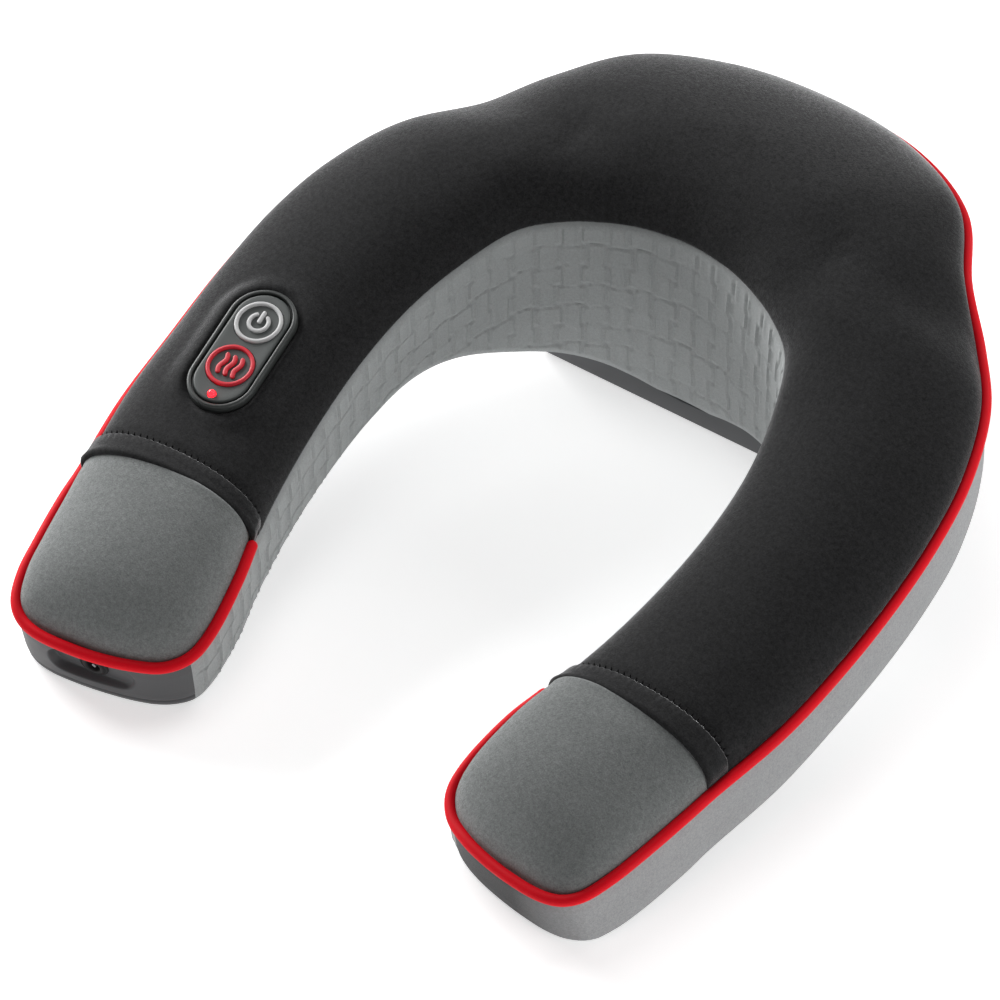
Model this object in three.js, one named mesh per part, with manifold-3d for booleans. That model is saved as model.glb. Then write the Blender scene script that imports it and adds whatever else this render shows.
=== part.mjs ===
// Shiatsu neck massager: a horseshoe-shaped cushion with a kneading drive in its back.
//
// Frame: millimetres, +Z up. The origin is on the table, under the middle of the object's box.
// X runs across the neck opening, +Y points from the open end to the back. The massager stands on
// the lower edges of its two arm tips and on the feet of the base under its back, so both arms
// rise towards the back.
import * as THREE from 'three';
import { mergeVertices } from 'three/addons/utils/BufferGeometryUtils.js';
import Module from 'manifold-3d';

const wasm = await Module();
wasm.setup();

// ---------------------------------------------------------------- driving dimensions
const GAP = 0.4; // left between neighbouring pieces
const COVER = 3; // thickness of the padded top cover
const WALL = 2.5; // thickness of the side walls
const TRAY = 3; // thickness of the plastic trays
const PIPING_RADIUS = 2.2;
const HEM_WIDTH = 7.6;
const HEM_RAISE = 0.8;
const SEAM_INSET = 1.6; // from the piping's centre to the cover's outer edge
const PAD_BASE = 2; // depth of an end pad below its seam
const UNDERSIDE_RISE = 30.6; // height of the arms' underside at y = 0
const UNDERSIDE_SLOPE = 0.1987;
const TIP_END = -120; // y where the end pad starts to round down
const TIP_FRONT = -163.5; // y of the foremost seam point
const ORIGIN_Y = 13.03; // y of the middle of the object's box in the numbers below

const POD_LENGTH = 56;
const POD_WIDTH = 27;
const POD_RIM = 2.4;
const POD_CENTRE = new THREE.Vector3(-110.8, -39.1, 73.1);
const POD_ALONG = new THREE.Vector3(-2.2, 21.4, 5.4).normalize();
const BUTTON_RADIUS = 9.2;
const BUTTON_MIDDLE = 2; // from the pod's centre, towards the back
const BUTTON_SPACING = 21.3;
const LED_OFFSET = -22.4;

const HEAD_X = 46;
const HEAD_Y = 122;
const HEAD_RADIUS = 26;
const NODE_RADIUS = 11;
const NODE_ORBIT = 17;
const NODE_TOP = 102;
const WHEEL_TEETH = 24;
const GEAR_MODULE = 1.5;
const WORM_RADIUS = 6; // pitch radius
const DRIVE_Z = 53.5; // height of the motor's axis
const DISC_Z = 73; // underside of the head discs
const GEARBOX_FLOOR = 34;
const GEARBOX_SPLIT = 48;
const GEARBOX_TOP = 71;
const GEARBOX_RADIUS = 33;
const GEARBOX_Y = 127;

// ---------------------------------------------------------------- colours and finishes
const finishes = {
  black_fabric: [0x2b2b2d, 0.95, 0],
  grey_fabric: [0x7b7c7e, 0.95, 0],
  light_fabric: [0xa9abad, 0.95, 0],
  red_piping: [0xe51a2d, 0.45, 0],
  dark_plastic: [0x4b4c4e, 0.5, 0],
  grey_plastic: [0x636466, 0.45, 0],
  white_plastic: [0xc9c8c2, 0.5, 0],
  black_rubber: [0x1c1c1d, 0.85, 0],
  foam: [0xcfcabb, 1, 0],
  steel: [0xb9bcc0, 0.3, 1],
  brass: [0xb8934a, 0.35, 1],
  node_rubber: [0x8f8a86, 0.7, 0],
  circuit_board: [0x1f5a35, 0.5, 0],
  led_red: [0xff2030, 0.2, 0],
  heater_film: [0x9a5a2c, 0.6, 0],
};

const massager = new THREE.Group();

function add(name, geometry, finish, parent = massager) {
  const [color, roughness, metalness] = finishes[finish];
  const material = new THREE.MeshStandardMaterial({ color, roughness, metalness });
  const mesh = new THREE.Mesh(geometry, material);
  mesh.name = name;
  parent.add(mesh);
  return mesh;
}

// ---------------------------------------------------------------- solids
// A closed body from a list of points and triangles, turned so that its faces point out.
function closedBody(points, triangles) {
  const geometry = new THREE.BufferGeometry().setFromPoints(points);
  let volume = 0;
  for (const [a, b, c] of triangles) {
    volume += points[a].dot(points[b].clone().cross(points[c]));
  }
  const turned = volume < 0 ? triangles.map(([a, b, c]) => [a, c, b]) : triangles;
  geometry.setIndex(turned.flat());
  return geometry;
}

// Triangles over a ring of points, wound in the ring's own order.
function capTriangles(ring) {
  const normal = new THREE.Vector3();
  ring.forEach((p, i) => normal.add(p.clone().cross(ring[(i + 1) % ring.length])));
  const size = normal.toArray().map(Math.abs);
  const dropped = size.indexOf(Math.max(...size));
  const axes = [0, 1, 2].filter((axis) => axis !== dropped);
  const flat = ring.map((p) => new THREE.Vector2(...axes.map((axis) => p.getComponent(axis))));
  const area = THREE.ShapeUtils.area(flat);
  return THREE.ShapeUtils.triangulateShape(flat, []).map(([a, b, c]) => {
    const same = THREE.ShapeUtils.area([flat[a], flat[b], flat[c]]) * area > 0;
    return same ? [a, b, c] : [a, c, b];
  });
}

// A closed body through rings of points, each with the same number of points.
function loft(rings) {
  const count = rings[0].length;
  const last = (rings.length - 1) * count;
  const triangles = [];
  for (let k = 0; k < rings.length - 1; k += 1) {
    for (let i = 0; i < count; i += 1) {
      const a = k * count + i;
      const b = k * count + ((i + 1) % count);
      triangles.push([a, b, b + count], [a, b + count, a + count]);
    }
  }
  capTriangles(rings[0]).forEach(([a, b, c]) => triangles.push([a, c, b]));
  capTriangles(rings.at(-1)).forEach(([a, b, c]) => triangles.push([a + last, b + last, c + last]));
  return closedBody(rings.flat(), triangles);
}

function toSolid(geometry) {
  const bare = new THREE.BufferGeometry();
  bare.setAttribute('position', geometry.getAttribute('position'));
  bare.setIndex(geometry.getIndex());
  const merged = mergeVertices(bare, 1e-4);
  return new wasm.Manifold(
    new wasm.Mesh({
      numProp: 3,
      vertProperties: new Float32Array(merged.getAttribute('position').array),
      triVerts: new Uint32Array(merged.getIndex().array),
    }),
  );
}

function fromSolid(solid) {
  const mesh = solid.getMesh();
  const geometry = new THREE.BufferGeometry();
  geometry.setAttribute('position', new THREE.BufferAttribute(mesh.vertProperties, 3));
  geometry.setIndex(new THREE.BufferAttribute(mesh.triVerts, 1));
  return geometry;
}

// The first geometry joined with some others, then cut by the rest.
function shaped(geometry, { joined = [], cut = [] }) {
  let solid = toSolid(geometry);
  joined.forEach((piece) => {
    solid = solid.add(toSolid(piece));
  });
  cut.forEach((piece) => {
    solid = solid.subtract(toSolid(piece));
  });
  return fromSolid(solid);
}

// A cylinder standing on z = low at (x, y).
function post(radius, x, y, low, high, segments = 16) {
  const geometry = new THREE.CylinderGeometry(radius, radius, high - low, segments);
  return geometry.rotateX(Math.PI / 2).translate(x, y, (low + high) / 2);
}

function box(width, depth, height, x, y, z) {
  return new THREE.BoxGeometry(width, depth, height).translate(x, y, z);
}

// A stadium outline: two half circles joined by straight sides, its length along Y or X.
function stadium(length, width, alongX = false) {
  const r = width / 2;
  const run = length / 2 - r;
  const shape = new THREE.Shape();
  if (alongX) {
    shape.absarc(run, 0, r, -Math.PI / 2, Math.PI / 2);
    shape.absarc(-run, 0, r, Math.PI / 2, (3 * Math.PI) / 2);
  } else {
    shape.absarc(0, run, r, 0, Math.PI);
    shape.absarc(0, -run, r, Math.PI, 2 * Math.PI);
  }
  return shape;
}

function prism(shape, low, high, curveSegments = 8) {
  const settings = { depth: high - low, bevelEnabled: false, curveSegments };
  return new THREE.ExtrudeGeometry(shape, settings).translate(0, 0, low);
}

// ---------------------------------------------------------------- ribs of the cushion
// Each rib of the right half joins a point of the inner seam to a point of the outer seam, from
// the hem (first) to the middle of the back (last). crown is the rise of the cover above the
// seams, peak where it is highest (0 inner, 1 outer), round the roundness towards the inner
// and the outer seam (2 is an ellipse),
// low the heights of the walls' lower edges, tuck how far the outer wall leans in at its foot.
const RIBS = [
  {
    inner: [66.4, -92.5, 39.2], outer: [141.7, -99.3, 40.2], crown: 20.4, peak: 0.5,
    round: [2.3, 2.17], low: [12.1, 10.9], tuck: 0, bulge: 0.6,
  },
  {
    inner: [72.5, -65, 46], outer: [148.3, -64.2, 45.7], crown: 20.6, peak: 0.5,
    round: [2.15, 2.12], low: [17.6, 17.5], tuck: 0, bulge: 1.4,
  },
  {
    inner: [76.6, -35, 54.4], outer: [150.8, -31.3, 51.7], crown: 20.7, peak: 0.5,
    round: [1.9, 2], low: [23.6, 23.8], tuck: 0, bulge: 2.2,
  },
  {
    inner: [78, -5, 62.9], outer: [151.8, 0.2, 59.5], crown: 20.1, peak: 0.5,
    round: [1.8, 2], low: [29.5, 30.2], tuck: 0, bulge: 2.5,
  },
  {
    inner: [76, 20, 70], outer: [150.4, 29.7, 67], crown: 19.6, peak: 0.5,
    round: [1.8, 2.05], low: [33.4, 36.2], tuck: 0, bulge: 2.5,
  },
  {
    inner: [70.5, 42, 76.3], outer: [145.9, 56.9, 73.5], crown: 19.9, peak: 0.5,
    round: [1.9, 1.85], low: [31.5, 41.5], tuck: 0, bulge: 2.5,
  },
  {
    inner: [60.2, 65.5, 83], outer: [134.3, 87.6, 79.4], crown: 20.9, peak: 0.48,
    round: [2, 1.6], low: [22.6, 46.5], tuck: 0, bulge: 2.5,
  },
  {
    inner: [47, 76.5, 86], outer: [115.9, 112.7, 81], crown: 22.6, peak: 0.46,
    round: [2, 1.45], low: [20.7, 44], tuck: 2, bulge: 2.6,
  },
  {
    inner: [34, 83, 87.8], outer: [95.5, 134.5, 87], crown: 24.2, peak: 0.43,
    round: [1.9, 1.8], low: [18.2, 33], tuck: 4, bulge: 3.2,
  },
  {
    inner: [22, 87, 89], outer: [74.8, 163.7, 89.4], crown: 25.3, peak: 0.4,
    round: [1.8, 1.75], low: [14.6, 22], tuck: 7, bulge: 3.2,
  },
  {
    inner: [11, 89, 89.6], outer: [41.7, 182.9, 88.6], crown: 25.8, peak: 0.38,
    round: [1.8, 1.7], low: [11.6, 15], tuck: 9, bulge: 2.8,
  },
  {
    inner: [0, 89.9, 89.8], outer: [0, 189.3, 87.5], crown: 26, peak: 0.37,
    round: [1.8, 1.75], low: [10.7, 13], tuck: 10, bulge: 2.5,
  },
];
const ARCH_POINTS = 9;
const INTERVALS = 2 * (RIBS.length - 1);
// The cover sags a little between the kneading heads and the padding behind them.
const SAG = { x: 56, y: 104, depth: 2.2, spread: 12 };

// The seam round the right tip, from the inner end of the hem to its outer end.
const TIP_INNER = [
  [65.6, -94.7, 42],
  [61.1, -109.6, 38],
  [57.5, -131.8, 30.1],
  [58.7, -141.9, 26.4],
  [64.8, -149.9, 24.2],
];
const TIP_END_SEAM = [
  [64.8, -149.9, 24.2],
  [75.7, -156, 24.2],
  [87.3, -159.7, 24.1],
  [100, -162.2, 24.4],
  [112.4, -163.2, 24.9],
  [120.3, -161.8, 25.8],
  [126.6, -157.7, 28],
];
const TIP_OUTER = [
  [126.6, -157.7, 28],
  [131.9, -147.3, 31.5],
  [135.5, -133.2, 34.3],
  [140, -110.7, 38.6],
];
const TIP_UNDERCUT = 5.5; // how far the end face leans in at its foot

const vector = ([x, y, z]) => new THREE.Vector3(x, y - ORIGIN_Y, z);
const flipX = (p) => new THREE.Vector3(-p.x, p.y, p.z);
const sameOrder = (p) => p;
const sweep = (points) => new THREE.CatmullRomCurve3(points);
const bothSides = (points) => [...points.map(flipX), ...points.slice(0, -1).reverse()];
const underside = (y) => Math.max(UNDERSIDE_RISE + UNDERSIDE_SLOPE * (y + ORIGIN_Y), 0.1);

const innerSeam = sweep(bothSides(RIBS.map((rib) => vector(rib.inner))));
const outerSeam = sweep(bothSides(RIBS.map((rib) => vector(rib.outer))));
const alongRibs = (pick) => {
  const half = RIBS.map((rib) => new THREE.Vector3(...pick(rib)));
  return sweep([...half, ...half.slice(0, -1).reverse()]);
};
const crownCurve = alongRibs((rib) => [rib.crown, rib.peak, 0]);
const roundCurve = alongRibs((rib) => [...rib.round, rib.bulge]);
const footCurve = alongRibs((rib) => [rib.low[0], rib.low[1], rib.tuck]);

// The rib at a place along the cushion, counted in rib numbers from the left hem to the right hem.
function ribAt(place) {
  const t = THREE.MathUtils.clamp(place / INTERVALS, 0, 1);
  const crown = crownCurve.getPoint(t);
  const round = roundCurve.getPoint(t);
  const foot = footCurve.getPoint(t);
  return {
    inner: innerSeam.getPoint(t),
    outer: outerSeam.getPoint(t),
    crown: crown.x,
    peak: crown.y,
    round: [round.x, round.y],
    innerLow: foot.x,
    outerLow: foot.y,
    tuck: foot.z,
    bulge: round.z,
    inset: SEAM_INSET,
  };
}

function places(from, to, count) {
  return Array.from({ length: count }, (_, i) => from + ((to - from) * i) / (count - 1));
}

// Places shared by all layers of the cushion: the two ends, and every half rib between them.
function stations(from, to) {
  const inside = places(0, INTERVALS, 2 * INTERVALS + 1).filter((x) => x > from + 0.1 && x < to - 0.1);
  return [from, ...inside, to];
}

// Points over the crown of a rib, from its inner foot to its outer foot. depth is how far they lie
// under the cover's outer face. outerLift raises the outer foot, to clear the piping.
function archPoints(rib, depth, outerLift = PIPING_RADIUS + GAP) {
  const innerFoot = rib.inner.clone();
  const outerFoot = rib.outer.clone().add(new THREE.Vector3(0, 0, outerLift));
  const span = Math.hypot(outerFoot.x - innerFoot.x, outerFoot.y - innerFoot.y);
  const peak = rib.peak * span;
  return Array.from({ length: ARCH_POINTS }, (_, i) => {
    const angle = (Math.PI * i) / (ARCH_POINTS - 1);
    const side = Math.cos(angle);
    const roundness = side > 0 ? rib.round[0] : rib.round[1];
    const reach = Math.abs(side) ** (2 / roundness);
    const rise = Math.sin(angle) ** (2 / roundness);
    const overhang = rib.bulge * 4 * rise * (1 - rise);
    const outward = peak + reach * (span - peak - rib.inset - depth) + overhang;
    const across = side > 0 ? peak - reach * (peak - depth) : outward;
    const point = innerFoot.clone().lerp(outerFoot, across / span);
    point.z += rise * (rib.crown - depth + (outerLift > 0 ? 0 : outerLift));
    point.z -= rise * sagAt(point);
    return point;
  });
}

function sagAt(point) {
  const away = Math.hypot(Math.abs(point.x) - SAG.x, point.y + ORIGIN_Y - SAG.y);
  return SAG.depth * Math.exp(-0.5 * (away / SAG.spread) ** 2);
}

// A layer of the crown between two depths under the cover's outer face.
function crownLayer(from, to, outerDepth, innerDepth) {
  return loft(
    stations(from, to).map((place) => {
      const rib = ribAt(place);
      const upper = archPoints(rib, outerDepth);
      const lower = archPoints(rib, innerDepth);
      return [...upper, ...lower.reverse()];
    }),
  );
}

// ---------------------------------------------------------------- top cover, hems and pads
const RIB_SPACING = 27.5; // near the arm's end
const HEM_STEP = HEM_WIDTH / RIB_SPACING; // a hem's width, in ribs
const SEAM_STEP = 0.012; // the gap at a seam, in ribs
const COVER_START = HEM_STEP + SEAM_STEP;

function podPlaced(geometry) {
  return geometry.applyMatrix4(podFrame);
}

const podAcross = new THREE.Vector3().crossVectors(POD_ALONG, new THREE.Vector3(0, 0, 1)).normalize();
const podNormal = new THREE.Vector3().crossVectors(podAcross, POD_ALONG).normalize();
const podFrame = new THREE.Matrix4()
  .makeBasis(podAcross, POD_ALONG, podNormal)
  .setPosition(POD_CENTRE.x, POD_CENTRE.y - ORIGIN_Y, POD_CENTRE.z);

function buildCover() {
  const cover = crownLayer(COVER_START, INTERVALS - COVER_START, 0, COVER);
  const seat = podPlaced(prism(stadium(POD_LENGTH + 2 * GAP, POD_WIDTH + 2 * GAP), -1.8, 12));
  const hole = podPlaced(prism(stadium(POD_LENGTH - 6, POD_WIDTH - 6), -30, 12));
  add('top_cover', shaped(cover, { cut: [seat, hole] }), 'black_fabric');
}

function buildHem(name, from, to) {
  const rings = places(from, to, 3).map((place) => {
    const rib = ribAt(place);
    return [...archPoints(rib, -HEM_RAISE), ...archPoints(rib, COVER).reverse()];
  });
  add(name, loft(rings), 'black_fabric');
}

// Seam points facing each other across the tip, from the hem to the front.
const TIP_CROWN = 21;
const TIP_ROUNDNESS = 2.4;
const padInner = sweep([...TIP_INNER, TIP_END_SEAM[1], TIP_END_SEAM[2]].map(vector));
const padOuter = sweep(
  [[141.5, -100.0, 40.0], ...[...TIP_OUTER].reverse(), TIP_END_SEAM[5], TIP_END_SEAM[4]].map(vector),
);

function padRib(t, turn) {
  const inner = padInner.getPoint(t);
  const outer = padOuter.getPoint(t);
  const start = TIP_END - ORIGIN_Y;
  const front = TIP_FRONT - ORIGIN_Y;
  const along = THREE.MathUtils.clamp(((inner.y + outer.y) / 2 - start) / (front - start), 0, 1);
  const crown = TIP_CROWN * (1 - along ** TIP_ROUNDNESS) ** (1 / TIP_ROUNDNESS);
  const seams = { inner: turn(inner), outer: turn(outer) };
  return { ...seams, crown, peak: 0.5, round: [2.2, 1.8], bulge: 0, inset: 0 };
}

function buildEndPad(name, turn) {
  const steps = [SEAM_STEP, 0.15, 0.33, 0.5, 0.6, 0.68, 0.76, 0.83, 0.9, 0.95];
  const inward = PIPING_RADIUS + GAP;
  const rings = steps.map((t) => {
    const rib = padRib(t, sameOrder);
    const innerWay = padInner.getTangent(t);
    const outerWay = padOuter.getTangent(t);
    const fromInner = new THREE.Vector3(-innerWay.y, innerWay.x, 0).normalize();
    const fromOuter = new THREE.Vector3(outerWay.y, -outerWay.x, 0).normalize();
    rib.inner = turn(rib.inner.addScaledVector(fromInner, inward));
    rib.outer = turn(rib.outer.addScaledVector(fromOuter, inward));
    const arch = archPoints(rib, 0, 0);
    const innerFoot = arch[0].clone();
    const outerFoot = arch.at(-1).clone();
    innerFoot.z -= PAD_BASE;
    outerFoot.z -= PAD_BASE;
    return [innerFoot, ...arch, outerFoot];
  });
  add(name, loft(rings), 'grey_fabric');
}

// ---------------------------------------------------------------- piping
function buildPiping() {
  const half = [
    ...TIP_INNER.slice(0, -1),
    ...TIP_END_SEAM,
    ...TIP_OUTER.slice(1),
    ...RIBS.map((rib) => rib.outer),
  ].map(vector);
  const section = new THREE.Shape(
    Array.from({ length: 6 }, (_, i) => {
      const angle = (Math.PI * i) / 3;
      return new THREE.Vector2(Math.cos(angle), Math.sin(angle)).multiplyScalar(PIPING_RADIUS);
    }),
  );
  const settings = { steps: 140, extrudePath: sweep(bothSides(half)) };
  add('piping', new THREE.ExtrudeGeometry(section, settings), 'red_piping');
}

// ---------------------------------------------------------------- side walls
const WALL_END = 0.004; // trimmed off both ends of a wall, to clear its neighbours

// A wall hung from a seam: pairs of upper and lower points, thickened towards the cushion.
function wall(tops, feet, thickness, inward) {
  const upper = sweep(tops);
  const lower = sweep(feet);
  const times = places(0, 1, 2 * tops.length - 1);
  times[0] = WALL_END;
  times[times.length - 1] = 1 - WALL_END;
  return loft(
    times.map((t) => {
      const top = upper.getPoint(t);
      const foot = lower.getPoint(t);
      const along = upper.getTangent(t);
      const full = THREE.MathUtils.smoothstep(Math.min(t, 1 - t), 0, 0.2);
      const depth = WALL + (thickness - WALL) * full;
      const into = new THREE.Vector3(-along.y, along.x, 0).normalize().multiplyScalar(depth * inward);
      return [top, foot, foot.clone().add(into), top.clone().add(into)];
    }),
  );
}

const underPiping = (p) => new THREE.Vector3(p.x, p.y, p.z - PIPING_RADIUS - GAP);

// The foot of the tip's walls: the end face leans in, the sides stand upright.
function tipFoot(p) {
  const y = p.y + ORIGIN_Y;
  const lean = THREE.MathUtils.smoothstep(-y, -TIP_END, -TIP_FRONT) * TIP_UNDERCUT;
  const middle = 96;
  const pull = ((p.x - middle) / middle) * lean * 0.15;
  const footY = p.y + lean;
  return new THREE.Vector3(p.x - pull, footY, underside(footY));
}

function buildInnerWall() {
  const tipTops = [...TIP_INNER].reverse().map(vector);
  const ribTops = RIBS.map((rib) => vector(rib.inner)).map((p) => p.setZ(p.z - GAP));
  const tops = [...tipTops.slice(0, -1).map(underPiping), ...ribTops];
  const ribFeet = RIBS.map((rib) => vector([rib.inner[0], rib.inner[1], rib.low[0]]));
  const feet = [...tipTops.slice(0, -1).map(tipFoot), ...ribFeet];
  const [wallTops, wallFeet] = [bothSides(tops).slice(1), bothSides(feet).slice(1)];
  add('inner_wall', wall(wallTops, wallFeet, WALL, 1), 'grey_fabric');
}

// A point at a height on the outer wall, which leans in towards its foot at the back.
function outerFoot(rib) {
  const top = vector(rib.outer);
  const inner = vector(rib.inner);
  const into = inner.sub(top).setZ(0).normalize().multiplyScalar(rib.tuck);
  return top.clone().add(into).setZ(rib.low[1]);
}

function buildOuterWall() {
  const tipTops = TIP_OUTER.map(vector);
  const ribTops = RIBS.map((rib) => vector(rib.outer));
  const tops = [...tipTops, ...ribTops].map(underPiping);
  const feet = [...tipTops.map(tipFoot), ...RIBS.map(outerFoot)];
  add('outer_wall', wall(bothSides(tops), bothSides(feet), WALL, -1), 'light_fabric');
}

function endFace(points, turn, thickness, inward) {
  const seam = points.map(vector);
  const tops = seam.map(underPiping).map(turn);
  const feet = seam.map(tipFoot).map(turn);
  return wall(tops, feet, thickness, inward);
}

// ---------------------------------------------------------------- power inlet in the left tip
const JACK = new THREE.Vector3(-92.3, -157.9 - ORIGIN_Y, 14.3);
const JACK_TILT = 0.23; // lean of the recess, as the end face leans
const jackFrame = new THREE.Matrix4()
  .makeRotationFromEuler(new THREE.Euler(Math.PI / 2 + JACK_TILT, 0, 0.14))
  .setPosition(JACK);

function jackPlaced(geometry) {
  return geometry.applyMatrix4(jackFrame);
}

function buildPowerInlet() {
  const cap = endFace([TIP_INNER.at(-2), ...TIP_END_SEAM], flipX, 6, -1);
  const recess = jackPlaced(prism(stadium(35.5, 13, true), -2.6, 12));
  const bore = jackPlaced(post(6.2, 0, 0, -20, 4));
  add('left_end_cap', shaped(cap, { cut: [recess, bore] }), 'dark_plastic');
  const ring = [
    new THREE.Vector2(3.3, -8),
    new THREE.Vector2(5.6, -8),
    new THREE.Vector2(5.6, -0.8),
    new THREE.Vector2(5.0, -0.2),
    new THREE.Vector2(3.9, -0.2),
    new THREE.Vector2(3.3, -0.8),
    new THREE.Vector2(3.3, -8),
  ];
  const collar = new THREE.LatheGeometry(ring, 20).rotateX(Math.PI / 2);
  add('dc_jack_collar', jackPlaced(collar), 'black_rubber');
  add('dc_jack_pin', jackPlaced(post(0.9, 0, 0, -8, -1.6, 8)), 'steel');
  add('dc_jack_body', jackPlaced(box(12, 10, 11, 0, 0, -14)), 'dark_plastic');
}

// ---------------------------------------------------------------- trays, foam and base
const FLOOR_GAP = 0.3; // between a tray and the base shell

// A plate between the feet of the inner and the outer wall.
function trayRing(inner, outer, thickness, raise) {
  const across = outer.clone().sub(inner).normalize().multiplyScalar(WALL + 2 * GAP);
  const low = [inner.clone().add(across), outer.clone().sub(across)];
  low.forEach((p) => {
    p.z += raise;
  });
  const high = low.map((p) => new THREE.Vector3(p.x, p.y, p.z + thickness));
  return [low[0], low[1], high[1], high[0]];
}

function ribFeet(rib) {
  const into = rib.inner.clone().sub(rib.outer).setZ(0).normalize().multiplyScalar(rib.tuck);
  return {
    inner: rib.inner.clone().setZ(rib.innerLow),
    outer: rib.outer.clone().add(into).setZ(rib.outerLow),
  };
}

function armTrayRings(turn) {
  const tip = [0.72, 0.6, 0.45, 0.3, 0.15].map((t) => {
    const rib = padRib(t, sameOrder);
    const inner = tipFoot(rib.inner);
    const outer = tipFoot(rib.outer);
    const back = t > 0.5 ? 6 : 0;
    inner.y += back;
    outer.y += back;
    inner.z = underside(inner.y);
    outer.z = underside(outer.y);
    return trayRing(turn(inner), turn(outer), TRAY, FLOOR_GAP);
  });
  const arm = stations(INTERVALS - 5.9, INTERVALS).reverse().map((place) => {
    const feet = ribFeet(ribAt(place));
    return trayRing(turn(feet.inner), turn(feet.outer), TRAY, FLOOR_GAP);
  });
  return [...tip, ...arm];
}

function rearTrayRings(thickness, raise) {
  return stations(6.15, INTERVALS - 6.15).map((place) => {
    const feet = ribFeet(ribAt(place));
    return trayRing(feet.inner, feet.outer, thickness, raise);
  });
}

// Foam that fills an arm from its tray to the cover, between the side walls.
function armFoamRings(turn) {
  return stations(INTERVALS - 5.8, INTERVALS - 0.05).map((place) => {
    const rib = ribAt(place);
    const feet = ribFeet(rib);
    const arch = archPoints(rib, COVER + 2 * GAP);
    const [innerLow, outerLow] = trayRing(feet.inner, feet.outer, TRAY, TRAY + 2 * GAP);
    return [innerLow, ...arch, outerLow].map(turn);
  });
}

// Foam between the tray and the end pad of a tip.
function tipFoamRings(turn) {
  return [0.5, 0.4, 0.3, 0.15, 0.03].map((t) => {
    const rib = padRib(t, sameOrder);
    const [a, b] = trayRing(tipFoot(rib.inner), tipFoot(rib.outer), TRAY, TRAY + 3 * GAP);
    const roof = Math.min(rib.inner.z, rib.outer.z) - PAD_BASE - GAP;
    const c = b.clone().setZ(roof);
    const d = a.clone().setZ(roof);
    return [a, b, c, d].map(turn);
  });
}

function baseOutline(inset) {
  const half = 70 - inset;
  const front = 89.6 + inset - ORIGIN_Y;
  const back = 171 - inset - ORIGIN_Y;
  const corner = 14 - inset;
  const shape = new THREE.Shape();
  shape.moveTo(-half + 3, front);
  shape.lineTo(half - 3, front);
  shape.lineTo(half, front + 3);
  shape.lineTo(half, front + 24);
  shape.bezierCurveTo(half, back - corner, half - 18, back, half - 36, back);
  shape.lineTo(-half + 36, back);
  shape.bezierCurveTo(-half + 18, back, -half, back - corner, -half, front + 24);
  shape.lineTo(-half, front + 3);
  return shape;
}

const BASE_LOW = 1.5;
const FOOT_PLACES = [
  [-50, 101],
  [50, 101],
  [-42, 156],
  [42, 156],
];

function buildBase() {
  const shell = prism(baseOutline(0), BASE_LOW, 60, 6);
  const hollow = prism(baseOutline(TRAY), BASE_LOW + TRAY, 61, 6);
  const above = loft(
    stations(5.5, INTERVALS - 5.5).map((place) => {
      const feet = ribFeet(ribAt(place));
      const over = feet.outer.clone().sub(feet.inner).normalize().multiplyScalar(6);
      const low = [feet.inner.clone().sub(over), feet.outer.clone().add(over)];
      low.forEach((p) => {
        p.z -= 2 * GAP;
      });
      const high = low.map((p) => new THREE.Vector3(p.x, p.y, 90));
      return [low[0], low[1], high[1], high[0]];
    }),
  );
  add('base_shell', shaped(shell, { cut: [hollow, above] }), 'dark_plastic');
  FOOT_PLACES.forEach(([x, y], i) => {
    const foot = post(6, x, y - ORIGIN_Y, 0, BASE_LOW - FLOOR_GAP, 14);
    add(`foot_${i + 1}`, foot, 'black_rubber');
  });
}

function buildInside() {
  [['left', flipX], ['right', sameOrder]].forEach(([side, turn]) => {
    add(`${side}_arm_tray`, loft(armTrayRings(turn)), 'dark_plastic');
    const tipFoam = loft(tipFoamRings(turn));
    const jackPocket = jackPlaced(box(15, 13, 30, 0, 0, -14));
    add(`${side}_tip_foam`, side === 'left' ? shaped(tipFoam, { cut: [jackPocket] }) : tipFoam, 'foam');
    const foam = loft(armFoamRings(turn));
    const pocket = podPlaced(prism(stadium(POD_LENGTH - 2, POD_WIDTH - 2), -18, 20));
    add(`${side}_arm_foam`, side === 'left' ? shaped(foam, { cut: [pocket] }) : foam, 'foam');
  });
  add('rear_tray', loft(rearTrayRings(TRAY, FLOOR_GAP)), 'dark_plastic');
  add('heater_pad', crownLayer(8, INTERVALS - 8, COVER + 0.8, COVER + 1.6), 'heater_film');
  add('rear_foam', crownLayer(6.5, INTERVALS - 6.5, COVER + 2.4, COVER + 5.4), 'foam');
}

// ---------------------------------------------------------------- control pod on the left arm
const buttonY = (end) => BUTTON_MIDDLE + (end * BUTTON_SPACING) / 2;

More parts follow.
